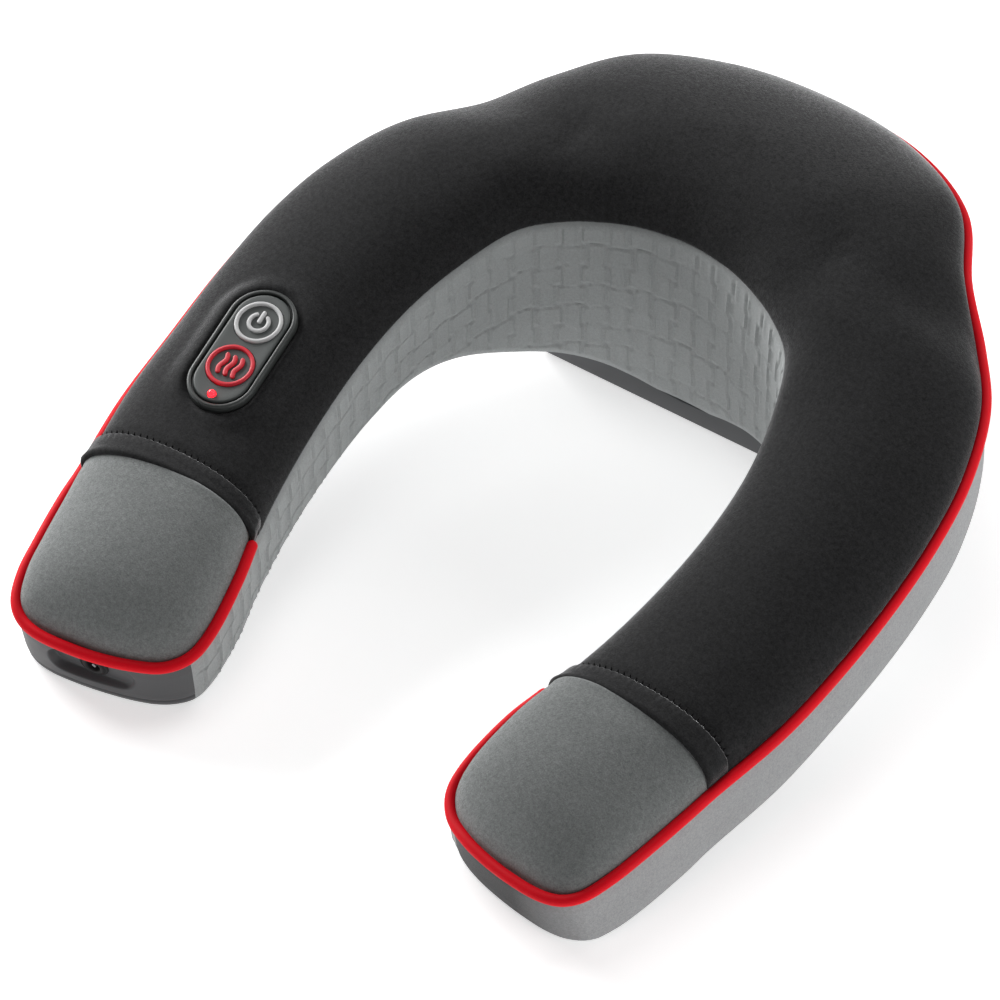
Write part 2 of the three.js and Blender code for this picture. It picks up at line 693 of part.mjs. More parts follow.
function buildPod() {
  const pod = new THREE.Group();
  pod.applyMatrix4(podFrame);
  massager.add(pod);

  const face = POD_WIDTH - 2 * POD_RIM;
  const faceLength = POD_LENGTH - 2 * POD_RIM;
  const bezel = stadium(POD_LENGTH - 1.2, POD_WIDTH - 1.2);
  bezel.holes.push(stadium(faceLength + 1.2, face + 1.2));
  const rim = new THREE.ExtrudeGeometry(bezel, {
    depth: 3.4,
    bevelThickness: 0.6,
    bevelSize: 0.6,
    bevelSegments: 1,
    curveSegments: 8,
  }).translate(0, 0, -0.8);
  add('pod_bezel', rim, 'grey_plastic', pod);

  const plate = stadium(faceLength - 2 * GAP, face - 2 * GAP);
  [1, -1].forEach((end) => {
    const hole = new THREE.Path().absarc(0, buttonY(end), BUTTON_RADIUS + GAP, 0, 2 * Math.PI);
    plate.holes.push(hole);
  });
  plate.holes.push(new THREE.Path().absarc(0, LED_OFFSET, 1.9, 0, 2 * Math.PI));
  add('pod_faceplate', prism(plate, -0.6, 1.6, 8), 'grey_plastic', pod);

  const cup = prism(stadium(faceLength - 3, face - 2), -15, -1.9);
  const well = prism(stadium(faceLength - 6, face - 5), -13.5, 0);
  add('pod_cup', shaped(cup, { cut: [well] }), 'dark_plastic', pod);
  add('control_pcb', box(12, 40, 1.6, 0, 0, -8.2), 'circuit_board', pod);

  [['power', 1], ['heat', -1]].forEach(([use, end]) => {
    const y = buttonY(end);
    const profile = [
      new THREE.Vector2(0, -2.6),
      new THREE.Vector2(2.2, -2.6),
      new THREE.Vector2(2.2, -0.4),
      new THREE.Vector2(BUTTON_RADIUS, -0.4),
      new THREE.Vector2(BUTTON_RADIUS, 1.9),
      new THREE.Vector2(BUTTON_RADIUS - 0.5, 2.4),
      new THREE.Vector2(BUTTON_RADIUS - 1.6, 2.4),
      new THREE.Vector2(BUTTON_RADIUS - 2.0, 2.0),
      new THREE.Vector2(0, 2.0),
    ];
    const button = new THREE.LatheGeometry(profile, 16).rotateX(Math.PI / 2);
    add(`${use}_button`, button.translate(0, y, 0), use === 'power' ? 'white_plastic' : 'red_piping', pod);
    add(`${use}_switch`, box(6, 6, 3.2, 0, y, -5.6), 'black_rubber', pod);
  });

  const lens = [
    new THREE.Vector2(0, -0.8),
    new THREE.Vector2(1.5, -0.8),
    new THREE.Vector2(1.5, 1.7),
    new THREE.Vector2(1.1, 2.5),
    new THREE.Vector2(0, 2.9),
  ];
  const led = new THREE.LatheGeometry(lens, 12).rotateX(Math.PI / 2);
  add('led_lens', led.translate(0, LED_OFFSET, 0), 'led_red', pod);
}

// ---------------------------------------------------------------- kneading drive
const driveY = HEAD_Y - ORIGIN_Y;
const PITCH_RADIUS = (GEAR_MODULE * WHEEL_TEETH) / 2;
const LEAD = Math.PI * GEAR_MODULE;
const wormY = driveY + PITCH_RADIUS + WORM_RADIUS;
const WHEEL_HALF = 3;
const SHAFT_RADIUS = 3;
const OUTPUT_RADIUS = 4;

function gearboxOutline(inset) {
  const r = GEARBOX_RADIUS - inset;
  const shape = new THREE.Shape();
  const y = GEARBOX_Y - ORIGIN_Y;
  shape.absarc(44, y, r, -Math.PI / 2, Math.PI / 2);
  shape.absarc(-44, y, r, Math.PI / 2, (3 * Math.PI) / 2);
  return shape;
}

const SCREW_PLACES = [
  [-11, 101],
  [11, 101],
  [-66, 140],
  [66, 140],
];

function buildGearbox() {
  const inner = TRAY - 0.5;
  const bosses = SCREW_PLACES.map(([x, y]) => post(4, x, y - ORIGIN_Y, GEARBOX_FLOOR + 1, GEARBOX_SPLIT, 8));
  const pilots = SCREW_PLACES.map(([x, y]) => post(1.7, x, y - ORIGIN_Y, GEARBOX_SPLIT - 12, 90, 8));
  const legs = SCREW_PLACES.map(([x, y]) => post(5, x, y - ORIGIN_Y, 5, GEARBOX_FLOOR + 1, 8));
  const depth = 40;
  const underLegs = loft(rearTrayRings(depth + TRAY + FLOOR_GAP + GAP, -depth));
  const tub = prism(gearboxOutline(0), GEARBOX_FLOOR, GEARBOX_SPLIT, 6);
  const well = prism(gearboxOutline(inner), GEARBOX_FLOOR + inner, GEARBOX_SPLIT + 1, 6);
  const hollow = shaped(tub, { cut: [well] });
  const supports = [...bosses, ...legs];
  add('gearbox_lower', shaped(hollow, { joined: supports, cut: [...pilots, underLegs] }), 'grey_plastic');

  const low = GEARBOX_SPLIT + GAP;
  const lid = prism(gearboxOutline(0), low, GEARBOX_TOP, 6);
  const room = prism(gearboxOutline(inner), low - 1, GEARBOX_TOP - inner, 6);
  const posts = SCREW_PLACES.map(([x, y]) => post(4, x, y - ORIGIN_Y, low, GEARBOX_TOP - 1, 8));
  const sinks = SCREW_PLACES.map(([x, y]) => post(3.2, x, y - ORIGIN_Y, GEARBOX_TOP - 3, 90, 8));
  const outlets = [-1, 1].map((side) => post(OUTPUT_RADIUS + 1, side * HEAD_X, driveY, 40, 90, 12));
  const shell = shaped(lid, { cut: [room] });
  const cut = [...sinks, ...pilots, ...outlets];
  add('gearbox_upper', shaped(shell, { joined: posts, cut }), 'grey_plastic');

  SCREW_PLACES.forEach(([x, y], i) => {
    const profile = [
      new THREE.Vector2(0, GEARBOX_SPLIT - 10),
      new THREE.Vector2(1.3, GEARBOX_SPLIT - 10),
      new THREE.Vector2(1.3, GEARBOX_TOP - 2.6),
      new THREE.Vector2(2.8, GEARBOX_TOP - 2.6),
      new THREE.Vector2(2.8, GEARBOX_TOP - 1),
      new THREE.Vector2(0, GEARBOX_TOP - 0.4),
    ];
    const screw = new THREE.LatheGeometry(profile, 8).rotateX(Math.PI / 2);
    add(`gearbox_screw_${i + 1}`, screw.translate(x, y - ORIGIN_Y, 0), 'steel');
  });
}

// A ring of points round the X axis whose radius follows a thread of one start. hand is 1 for a
// right-hand thread and -1 for a left-hand one.
function threadRing(x, centre, hand) {
  return Array.from({ length: 10 }, (_, i) => {
    const angle = (2 * Math.PI * i) / 10;
    const phase = angle - (hand * 2 * Math.PI * (x - centre)) / LEAD;
    const radius = WORM_RADIUS - 0.75 + 1.35 * Math.cos(phase);
    return new THREE.Vector3(x, wormY + radius * Math.cos(angle), DRIVE_Z + radius * Math.sin(angle));
  });
}

function alongX(radius, from, to, segments) {
  const geometry = new THREE.CylinderGeometry(radius, radius, to - from, segments);
  return geometry.rotateZ(Math.PI / 2).translate((from + to) / 2, wormY, DRIVE_Z);
}

function buildMotor() {
  const can = new THREE.Shape().absarc(0, 0, 11, 0, 2 * Math.PI);
  can.holes.push(new THREE.Path().absarc(0, 0, SHAFT_RADIUS + GAP, 0, 2 * Math.PI));
  const body = prism(can, -24, 24, 12).rotateY(Math.PI / 2).translate(0, wormY, DRIVE_Z);
  add('motor_can', body, 'steel');
  add('motor_shaft', alongX(SHAFT_RADIUS, -58, 58, 12), 'steel');
  [['left', -1], ['right', 1]].forEach(([side, sign]) => {
    const centre = sign * HEAD_X;
    const rings = places(centre - 8, centre + 8, 25).map((x) => threadRing(x, centre, sign));
    const bore = alongX(SHAFT_RADIUS + 0.3, centre - 20, centre + 20, 12);
    add(`worm_${side}`, shaped(loft(rings), { cut: [bore] }), 'brass');
  });
}

// One outline of the worm wheel, turned by an angle, at a height.
function wheelRing(x, turn, z) {
  const ring = [];
  const step = (2 * Math.PI) / WHEEL_TEETH;
  for (let tooth = 0; tooth < WHEEL_TEETH; tooth += 1) {
    const middle = Math.PI / 2 + turn + step * tooth;
    const corners = [
      [-0.34, PITCH_RADIUS - 1.9],
      [-0.1, PITCH_RADIUS + 1.1],
      [0.1, PITCH_RADIUS + 1.1],
      [0.34, PITCH_RADIUS - 1.9],
    ];
    corners.forEach(([shift, radius]) => {
      const angle = middle + shift * step;
      ring.push(new THREE.Vector3(x + radius * Math.cos(angle), driveY + radius * Math.sin(angle), z));
    });
  }
  return ring;
}

function buildHead(side, sign) {
  const x = sign * HEAD_X;
  const slant = Math.atan(LEAD / (2 * Math.PI * WORM_RADIUS));
  const turn = (WHEEL_HALF * Math.tan(slant)) / PITCH_RADIUS;
  const wheel = loft([
    wheelRing(x, -sign * turn, DRIVE_Z - WHEEL_HALF),
    wheelRing(x, sign * turn, DRIVE_Z + WHEEL_HALF),
  ]);
  const bore = post(OUTPUT_RADIUS + 0.3, x, driveY, 0, 120);
  add(`worm_wheel_${side}`, shaped(wheel, { cut: [bore] }), 'white_plastic');
  add(`output_shaft_${side}`, post(OUTPUT_RADIUS, x, driveY, GEARBOX_FLOOR + 6, DISC_Z + 8, 14), 'steel');
  const disc = post(HEAD_RADIUS, x, driveY, DISC_Z, DISC_Z + 5, 24);
  add(`head_disc_${side}`, shaped(disc, { cut: [bore.clone()] }), 'grey_plastic');
  ['front', 'back'].forEach((end, i) => {
    const away = i === 0 ? -NODE_ORBIT : NODE_ORBIT;
    const base = DISC_Z + 5 + 0.3;
    const dome = NODE_TOP - NODE_RADIUS;
    const profile = [new THREE.Vector2(0, base), new THREE.Vector2(NODE_RADIUS - 1, base)];
    for (let k = 0; k <= 4; k += 1) {
      const angle = (Math.PI / 2) * (k / 4);
      const radius = k === 4 ? 0 : NODE_RADIUS * Math.cos(angle);
      profile.push(new THREE.Vector2(radius, dome + NODE_RADIUS * Math.sin(angle)));
    }
    const node = new THREE.LatheGeometry(profile, 14).rotateX(Math.PI / 2);
    add(`node_${side}_${end}`, node.translate(x, driveY + away, 0), 'node_rubber');
  });
}

// ---------------------------------------------------------------- assembly
buildCover();
buildHem('left_hem', 0, HEM_STEP);
buildHem('right_hem', INTERVALS - HEM_STEP, INTERVALS);
buildEndPad('left_end_pad', flipX);
buildEndPad('right_end_pad', sameOrder);
buildPiping();
buildInnerWall();
buildOuterWall();
add('right_end_face', endFace(TIP_END_SEAM, sameOrder, WALL, 1), 'light_fabric');
buildPowerInlet();
buildInside();
buildBase();
buildPod();
buildGearbox();
buildMotor();
buildHead('left', -1);
buildHead('right', 1);

export default massager;
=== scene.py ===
import math

import bmesh
import bpy
import numpy as np
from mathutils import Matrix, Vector


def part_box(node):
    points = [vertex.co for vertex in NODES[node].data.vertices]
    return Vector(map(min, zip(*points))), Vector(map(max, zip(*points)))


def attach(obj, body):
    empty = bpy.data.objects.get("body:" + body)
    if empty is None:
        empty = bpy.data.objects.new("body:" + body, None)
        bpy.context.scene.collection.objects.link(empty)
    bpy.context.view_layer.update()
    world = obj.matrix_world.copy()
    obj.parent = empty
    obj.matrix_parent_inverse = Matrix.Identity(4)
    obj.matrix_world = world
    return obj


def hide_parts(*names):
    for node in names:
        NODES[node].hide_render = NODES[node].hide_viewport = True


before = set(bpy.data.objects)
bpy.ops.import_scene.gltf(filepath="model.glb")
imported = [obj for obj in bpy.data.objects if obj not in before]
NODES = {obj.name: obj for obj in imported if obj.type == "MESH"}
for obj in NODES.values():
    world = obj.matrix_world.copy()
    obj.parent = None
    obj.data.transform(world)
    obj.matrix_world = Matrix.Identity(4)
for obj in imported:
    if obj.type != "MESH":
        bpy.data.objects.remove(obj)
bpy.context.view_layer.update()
MM = 0.001

# -------- the cushion's own lines
# The same ribs as the CAD part, right half, from the hem to the middle of the back, in mm:
# inner seam x y z, outer seam x y z, crown, peak, roundness in and out, wall feet in and out,
# how far the outer wall's foot is tucked in, and how far the outer side bulges.
ORIGIN_Y = 13.03  # from the part's origin to the origin of these tables, along Y
RIBS = np.array([
    [66.4, -92.5, 39.2, 141.7, -99.3, 40.2, 20.4, 0.5, 2.3, 2.17, 12.1, 10.9, 0, 0.6],
    [72.5, -65, 46, 148.3, -64.2, 45.7, 20.6, 0.5, 2.15, 2.12, 17.6, 17.5, 0, 1.4],
    [76.6, -35, 54.4, 150.8, -31.3, 51.7, 20.7, 0.5, 1.9, 2, 23.6, 23.8, 0, 2.2],
    [78, -5, 62.9, 151.8, 0.2, 59.5, 20.1, 0.5, 1.8, 2, 29.5, 30.2, 0, 2.5],
    [76, 20, 70, 150.4, 29.7, 67, 19.6, 0.5, 1.8, 2.05, 33.4, 36.2, 0, 2.5],
    [70.5, 42, 76.3, 145.9, 56.9, 73.5, 19.9, 0.5, 1.9, 1.85, 31.5, 41.5, 0, 2.5],
    [60.2, 65.5, 83, 134.3, 87.6, 79.4, 20.9, 0.48, 2, 1.6, 22.6, 46.5, 0, 2.5],
    [47, 76.5, 86, 115.9, 112.7, 81, 22.6, 0.46, 2, 1.45, 20.7, 44, 2, 2.6],
    [34, 83, 87.8, 95.5, 134.5, 87, 24.2, 0.43, 1.9, 1.8, 18.2, 33, 4, 3.2],
    [22, 87, 89, 74.8, 163.7, 89.4, 25.3, 0.4, 1.8, 1.75, 14.6, 22, 7, 3.2],
    [11, 89, 89.6, 41.7, 182.9, 88.6, 25.8, 0.38, 1.8, 1.7, 11.6, 15, 9, 2.8],
    [0, 89.9, 89.8, 0, 189.3, 87.5, 26, 0.37, 1.8, 1.75, 10.7, 13, 10, 2.5],
])
TIP_INNER = np.array([
    [65.6, -94.7, 42], [61.1, -109.6, 38], [57.5, -131.8, 30.1], [58.7, -141.9, 26.4],
    [64.8, -149.9, 24.2],
])
TIP_END_SEAM = np.array([
    [64.8, -149.9, 24.2], [75.7, -156, 24.2], [87.3, -159.7, 24.1], [100, -162.2, 24.4],
    [112.4, -163.2, 24.9], [120.3, -161.8, 25.8], [126.6, -157.7, 28],
])
TIP_OUTER = np.array([
    [126.6, -157.7, 28], [131.9, -147.3, 31.5], [135.5, -133.2, 34.3], [140, -110.7, 38.6],
])
for table in (RIBS[:, :3], RIBS[:, 3:6], TIP_INNER, TIP_END_SEAM, TIP_OUTER):
    table[:, 1] -= ORIGIN_Y
PLACES = 2 * (len(RIBS) - 1)  # rib numbers run from 0 at the left hem to this at the right hem
# The cover sags a little behind each kneading head, and swells over the head itself.
SAG = {"x": 57, "y": 103 - ORIGIN_Y, "depth": 3.6, "spread": 10.5}
SWELL = {"x": 67, "y": 70 - ORIGIN_Y, "depth": -2.2, "spread": 13}
TIP_START = -120 - ORIGIN_Y
TIP_FRONT = -163.5 - ORIGIN_Y
TIP_CROWN = 21
TIP_ROUNDNESS = 2.4
TIP_UNDERCUT = 5.5
PIPING_RADIUS = 2.2
COVER_THICKNESS, PAD_THICKNESS, WALL_THICKNESS = 2.8, 2.0, 2.2
WALL_INSET = 0.2  # from the seam to the wall's outer face
UNDER_PIPING = 1.2  # from the piping's centre down to the wall's upper edge
CLOTH_FRAMES = 20
PADDING = 6.0, 0.4, 2.0  # pressure, start and cap, as inflated() takes them
MIRROR = np.array([-1.0, 1.0, 1.0])
UP = np.array([0.0, 0.0, 1.0])


def curve(points, t):
    """Points of a centripetal Catmull-Rom curve at the parameters t, from 0 to 1."""
    p = np.asarray(points, float)
    ends = np.vstack([2 * p[0] - p[1], p, 2 * p[-1] - p[-2]])
    s = np.clip(np.atleast_1d(t), 0, 1) * (len(p) - 1)
    i = np.minimum(s.astype(int), len(p) - 2)
    w = (s - i)[:, None]
    a, b, c, d = ends[i], ends[i + 1], ends[i + 2], ends[i + 3]

    def knot(m, n):
        return np.maximum(((m - n) ** 2).sum(1) ** 0.25, 1e-4)[:, None]

    k0, k1, k2 = knot(a, b), knot(b, c), knot(c, d)
    t1 = ((b - a) / k0 - (c - a) / (k0 + k1) + (c - b) / k1) * k1
    t2 = ((c - b) / k1 - (d - b) / (k1 + k2) + (d - c) / k2) * k1
    return (b + t1 * w + (3 * (c - b) - 2 * t1 - t2) * w ** 2
            + (2 * (b - c) + t1 + t2) * w ** 3)


def both_sides(points):
    """A right-hand list of points, mirrored to the left side and then followed back."""
    return np.vstack([points * MIRROR, points[:-1][::-1]])


def there_and_back(values):
    """A right-hand list of values, from the left end to the middle and back to the right end."""
    return np.vstack([values, values[:-1][::-1]])


def unit(v):
    return v / np.maximum(np.linalg.norm(v, axis=-1, keepdims=True), 1e-9)


def distances(line):
    """How far each point is along a line of points."""
    return np.r_[0, np.cumsum(np.linalg.norm(np.diff(line, axis=0), axis=1))]


def evenly(line, count=None, step=None):
    """The line's parameters, 0 to 1, for points the same distance apart along it."""
    far = distances(line)
    count = count or max(3, int(round(far[-1] / step)) + 1)
    return np.interp(np.linspace(0, far[-1], count), far, np.linspace(0, 1, len(line)))


def smoothstep(x, low, high):
    """A smooth step from 0 at low to 1 at high."""
    t = np.clip((x - low) / (high - low), 0, 1)
    return t * t * (3 - 2 * t)


INNER_SEAM = both_sides(RIBS[:, :3])
OUTER_SEAM = both_sides(RIBS[:, 3:6])
SHAPE = there_and_back(RIBS[:, 6:9])
SHAPE_OUT = there_and_back(RIBS[:, 9:12])
TUCK = there_and_back(np.c_[RIBS[:, 12:14], RIBS[:, 12] * 0])


def ribs_at(places):
    """The rib's lines and shape at rib numbers, whole or between two ribs."""
    t = np.asarray(places, float) / PLACES
    shape, out, tuck = curve(SHAPE, t), curve(SHAPE_OUT, t), curve(TUCK, t)
    return {
        "inner": curve(INNER_SEAM, t), "outer": curve(OUTER_SEAM, t), "crown": shape[:, 0],
        "peak": shape[:, 1], "round": (shape[:, 2], out[:, 0]), "bulge": tuck[:, 1:2],
    }


def sag_at(p):
    """How far the cover lies below its plain arch."""
    depth = 0
    for place in (SAG, SWELL):
        away = np.hypot(np.abs(p[..., 0]) - place["x"], p[..., 1] - place["y"])
        depth = depth + place["depth"] * np.exp(-0.5 * (away / place["spread"]) ** 2)
    return depth


def arches(rib, columns, edge_in=0.0, edge_out=0.0, lift=0.0):
    """Rows of points over the crown, from the inner seam to the outer one, evenly spaced.
    They start edge_in and edge_out inside the seams, and lift above the outer one, in mm."""
    angle = np.linspace(0, math.pi, 181)[None, :]
    side = np.cos(angle)
    n = np.where(side > 0, rib["round"][0][:, None], rib["round"][1][:, None])
    reach = np.abs(side) ** (2 / n)
    rise = np.abs(np.sin(angle)) ** (2 / n)
    inner, outer = rib["inner"], rib["outer"] + np.array([0, 0, lift])
    span = np.linalg.norm((outer - inner)[:, :2], axis=1)[:, None]
    peak = rib["peak"][:, None] * span
    bulge = rib["bulge"] * 4 * rise * (1 - rise)
    across = np.where(side > 0, peak - reach * (peak - edge_in),
                      peak + reach * (span - peak - edge_out) + bulge) / span
    p = inner[:, None, :] * (1 - across[..., None]) + outer[:, None, :] * across[..., None]
    p[..., 2] += rise * rib["crown"][:, None]
    p[..., 2] -= rise * sag_at(p)
    return np.array([resample(row, columns) for row in p])


def resample(line, count):
    """The line again, as points the same distance apart."""
    far = distances(line)
    at = np.linspace(0, far[-1], count)
    return np.stack([np.interp(at, far, line[:, k]) for k in range(3)], axis=1)


# -------- meshes
def piece(name, verts, faces, smooth=True):
    """A mesh object from points in mm."""
    mesh = bpy.data.meshes.new(name)
    mesh.from_pydata((np.asarray(verts, float).reshape(-1, 3) * MM).tolist(), [], faces)
    mesh.validate()
    obj = bpy.data.objects.new(name, mesh)
    bpy.context.scene.collection.objects.link(obj)
    mesh.polygons.foreach_set("use_smooth", [smooth] * len(mesh.polygons))
    mesh.update()
    return obj


def grid_faces(rows, columns, wrap_rows=False, wrap_columns=False):
    faces = []
    for i in range(rows if wrap_rows else rows - 1):
        for j in range(columns if wrap_columns else columns - 1):
            a, b = i * columns + j, i * columns + (j + 1) % columns
            c, d = ((i + 1) % rows) * columns + (j + 1) % columns, ((i + 1) % rows) * columns + j
            faces.append((a, b, c, d))
    return faces


def grid_piece(name, grid):
    return piece(name, grid, grid_faces(*grid.shape[:2]))


def ring_piece(name, rings, wrap=False):
    """A closed mesh through rings of points."""
    rings = np.asarray(rings, float)
    count, sides = rings.shape[:2]
    faces = grid_faces(count, sides, wrap_rows=wrap, wrap_columns=True)
    verts = rings.reshape(-1, 3)
    if not wrap:
        verts = np.vstack([verts, rings[0].mean(0), rings[-1].mean(0)])
        low, high, last = count * sides, count * sides + 1, (count - 1) * sides
        for j in range(sides):
            k = (j + 1) % sides
            faces.append((low, k, j))
            faces.append((high, last + j, last + k))
    return turned_out(piece(name, verts, faces))


def turned_out(obj):
    bm = bmesh.new()
    bm.from_mesh(obj.data)
    bmesh.ops.recalc_face_normals(bm, faces=bm.faces)
    if bm.calc_volume(signed=True) < 0:
        bmesh.ops.reverse_faces(bm, faces=bm.faces)
    bm.to_mesh(obj.data)
    bm.free()
    return obj


def tube(name, path, radius, sides, taper):
    """A round tube along a path of points, with rounded ends."""
    way = unit(np.gradient(path, axis=0))
    normal = unit(np.cross(way[0], [0.31, 0.17, 0.93]))
    angle = np.linspace(0, 2 * math.pi, sides, endpoint=False)[:, None]
    spokes = []
    for w in way:
        normal = unit(normal - w * normal.dot(w))
        spokes.append(radius * (np.cos(angle) * normal + np.sin(angle) * np.cross(w, normal)))
    turns = [math.pi / 2 * k / (taper + 0.3) for k in range(1, taper + 1)]
    first, last = way[0] * radius, way[-1] * radius
    rings = [path[0] - first * math.sin(a) + spokes[0] * math.cos(a) for a in turns[::-1]]
    rings += [p + spoke for p, spoke in zip(path, spokes)]
    rings += [path[-1] + last * math.sin(a) + spokes[-1] * math.cos(a) for a in turns]
    return ring_piece(name, rings)


def apply_modifiers(obj):
    graph = bpy.context.evaluated_depsgraph_get()
    mesh = bpy.data.meshes.new_from_object(obj.evaluated_get(graph))
    obj.modifiers.clear()
    old, obj.data = obj.data, mesh
    mesh.name = obj.name
    bpy.data.meshes.remove(old)
    return obj


def solidified(obj, thickness):
    """Gives a sheet a thickness, in mm, on the side away from its normals."""
    solid = obj.modifiers.new("thick", "SOLIDIFY")
    solid.thickness = thickness * MM
    solid.offset = -1
    solid.use_even_offset = False
    return apply_modifiers(obj)


def sharp_by_angle(obj, degrees=35):
    bm = bmesh.new()
    bm.from_mesh(obj.data)
    for face in bm.faces:
        face.smooth = True
    for edge in bm.edges:
        if len(edge.link_faces) == 2:
            edge.smooth = edge.calc_face_angle(0) < math.radians(degrees)
    bm.to_mesh(obj.data)
    bm.free()
    return obj


def rounded_copy(node, name, width):
    """A CAD node's shape with its edges rounded, to be shown in its place."""
    mesh = NODES[node].data.copy()
    bm = bmesh.new()
    bm.from_mesh(mesh)
    bmesh.ops.remove_doubles(bm, verts=bm.verts, dist=2e-6)
    bmesh.ops.dissolve_limit(bm, angle_limit=math.radians(1.5), verts=bm.verts, edges=bm.edges)
    for face in bm.faces:
        face.smooth = True
    bm.to_mesh(mesh)
    bm.free()
    obj = bpy.data.objects.new(name, mesh)
    bpy.context.scene.collection.objects.link(obj)
    mesh.materials.clear()
    bevel = obj.modifiers.new("round", "BEVEL")
    bevel.width = width * MM
    bevel.segments = 3
    bevel.limit_method = "ANGLE"
    bevel.angle_limit = math.radians(25)
    bevel.use_clamp_overlap = True
    apply_modifiers(obj)
    return sharp_by_angle(obj)


def points_of(obj):
    co = np.empty(len(obj.data.vertices) * 3)
    obj.data.vertices.foreach_get("co", co)
    return co.reshape(-1, 3) / MM


def set_points(obj, points):
    obj.data.vertices.foreach_set("co", (np.asarray(points) * MM).astype(np.float32).ravel())
    obj.data.update()


def normals_of(obj):
    n = np.empty(len(obj.data.vertices) * 3)
    obj.data.vertices.foreach_get("normal", n)
    return n.reshape(-1, 3)


def inflated(obj, pinned, pressure, start, cap):
    """Blows a sheet or closed shape up as cloth held at its pinned points, then applies it.
    It starts that far inside its shape, and no point moves further than cap, in mm."""
    rest = points_of(obj)
    free = 1 - pinned
    set_points(obj, rest - normals_of(obj) * (start * free)[:, None])
    began = points_of(obj)
    group = obj.vertex_groups.new(name="held")
    for i in np.nonzero(pinned > 0.01)[0]:
        group.add([int(i)], float(pinned[i]), "REPLACE")
    cloth = obj.modifiers.new("cloth", "CLOTH")
    cloth.settings.vertex_group_mass = group.name
    cloth.settings.quality = 6
    cloth.settings.mass = 0.3
    cloth.settings.tension_stiffness = 25.0
    cloth.settings.compression_stiffness = 25.0
    cloth.settings.shear_stiffness = 12.5
    cloth.settings.bending_stiffness = 0.6
    cloth.settings.air_damping = 4
    cloth.settings.use_pressure = True
    cloth.settings.uniform_pressure_force = pressure
    cloth.settings.effector_weights.gravity = 0
    cloth.point_cache.frame_start = 1
    cloth.point_cache.frame_end = CLOTH_FRAMES
    scene = bpy.context.scene
    for number in range(1, CLOTH_FRAMES + 1):
        scene.frame_set(number)
    apply_modifiers(obj)
    scene.frame_set(1)
    moved = points_of(obj) - began
    far = np.linalg.norm(moved, axis=1, keepdims=True)
    set_points(obj, began + moved * np.minimum(1, cap / np.maximum(far, 1e-6)))
    obj.vertex_groups.clear()
    return obj


def near_edge(grid):
    """1 along a grid's edge, a half one step in, and 0 from there on."""
    rows, columns = grid.shape[:2]
    i, j = np.divmod(np.arange(rows * columns), columns)
    edge = np.minimum(np.minimum(j, columns - 1 - j), np.minimum(i, rows - 1 - i))
    return np.clip(1 - edge / 2, 0, 1)


def face_towards(obj, grid, side):
    """Turns a grid's faces so that its middle faces to that side."""
    rows, columns = grid.shape[:2]
    if normals_of(obj)[rows // 2 * columns + columns // 2] @ side < 0:
        obj.data.flip_normals()
    return obj


def padded_sheet(obj, thickness):
    """Gives a soft sheet its thickness and one subdivision."""
    solidified(obj, thickness)
    divide = obj.modifiers.new("smooth", "SUBSURF")
    divide.levels = divide.render_levels = 1
    return apply_modifiers(obj)


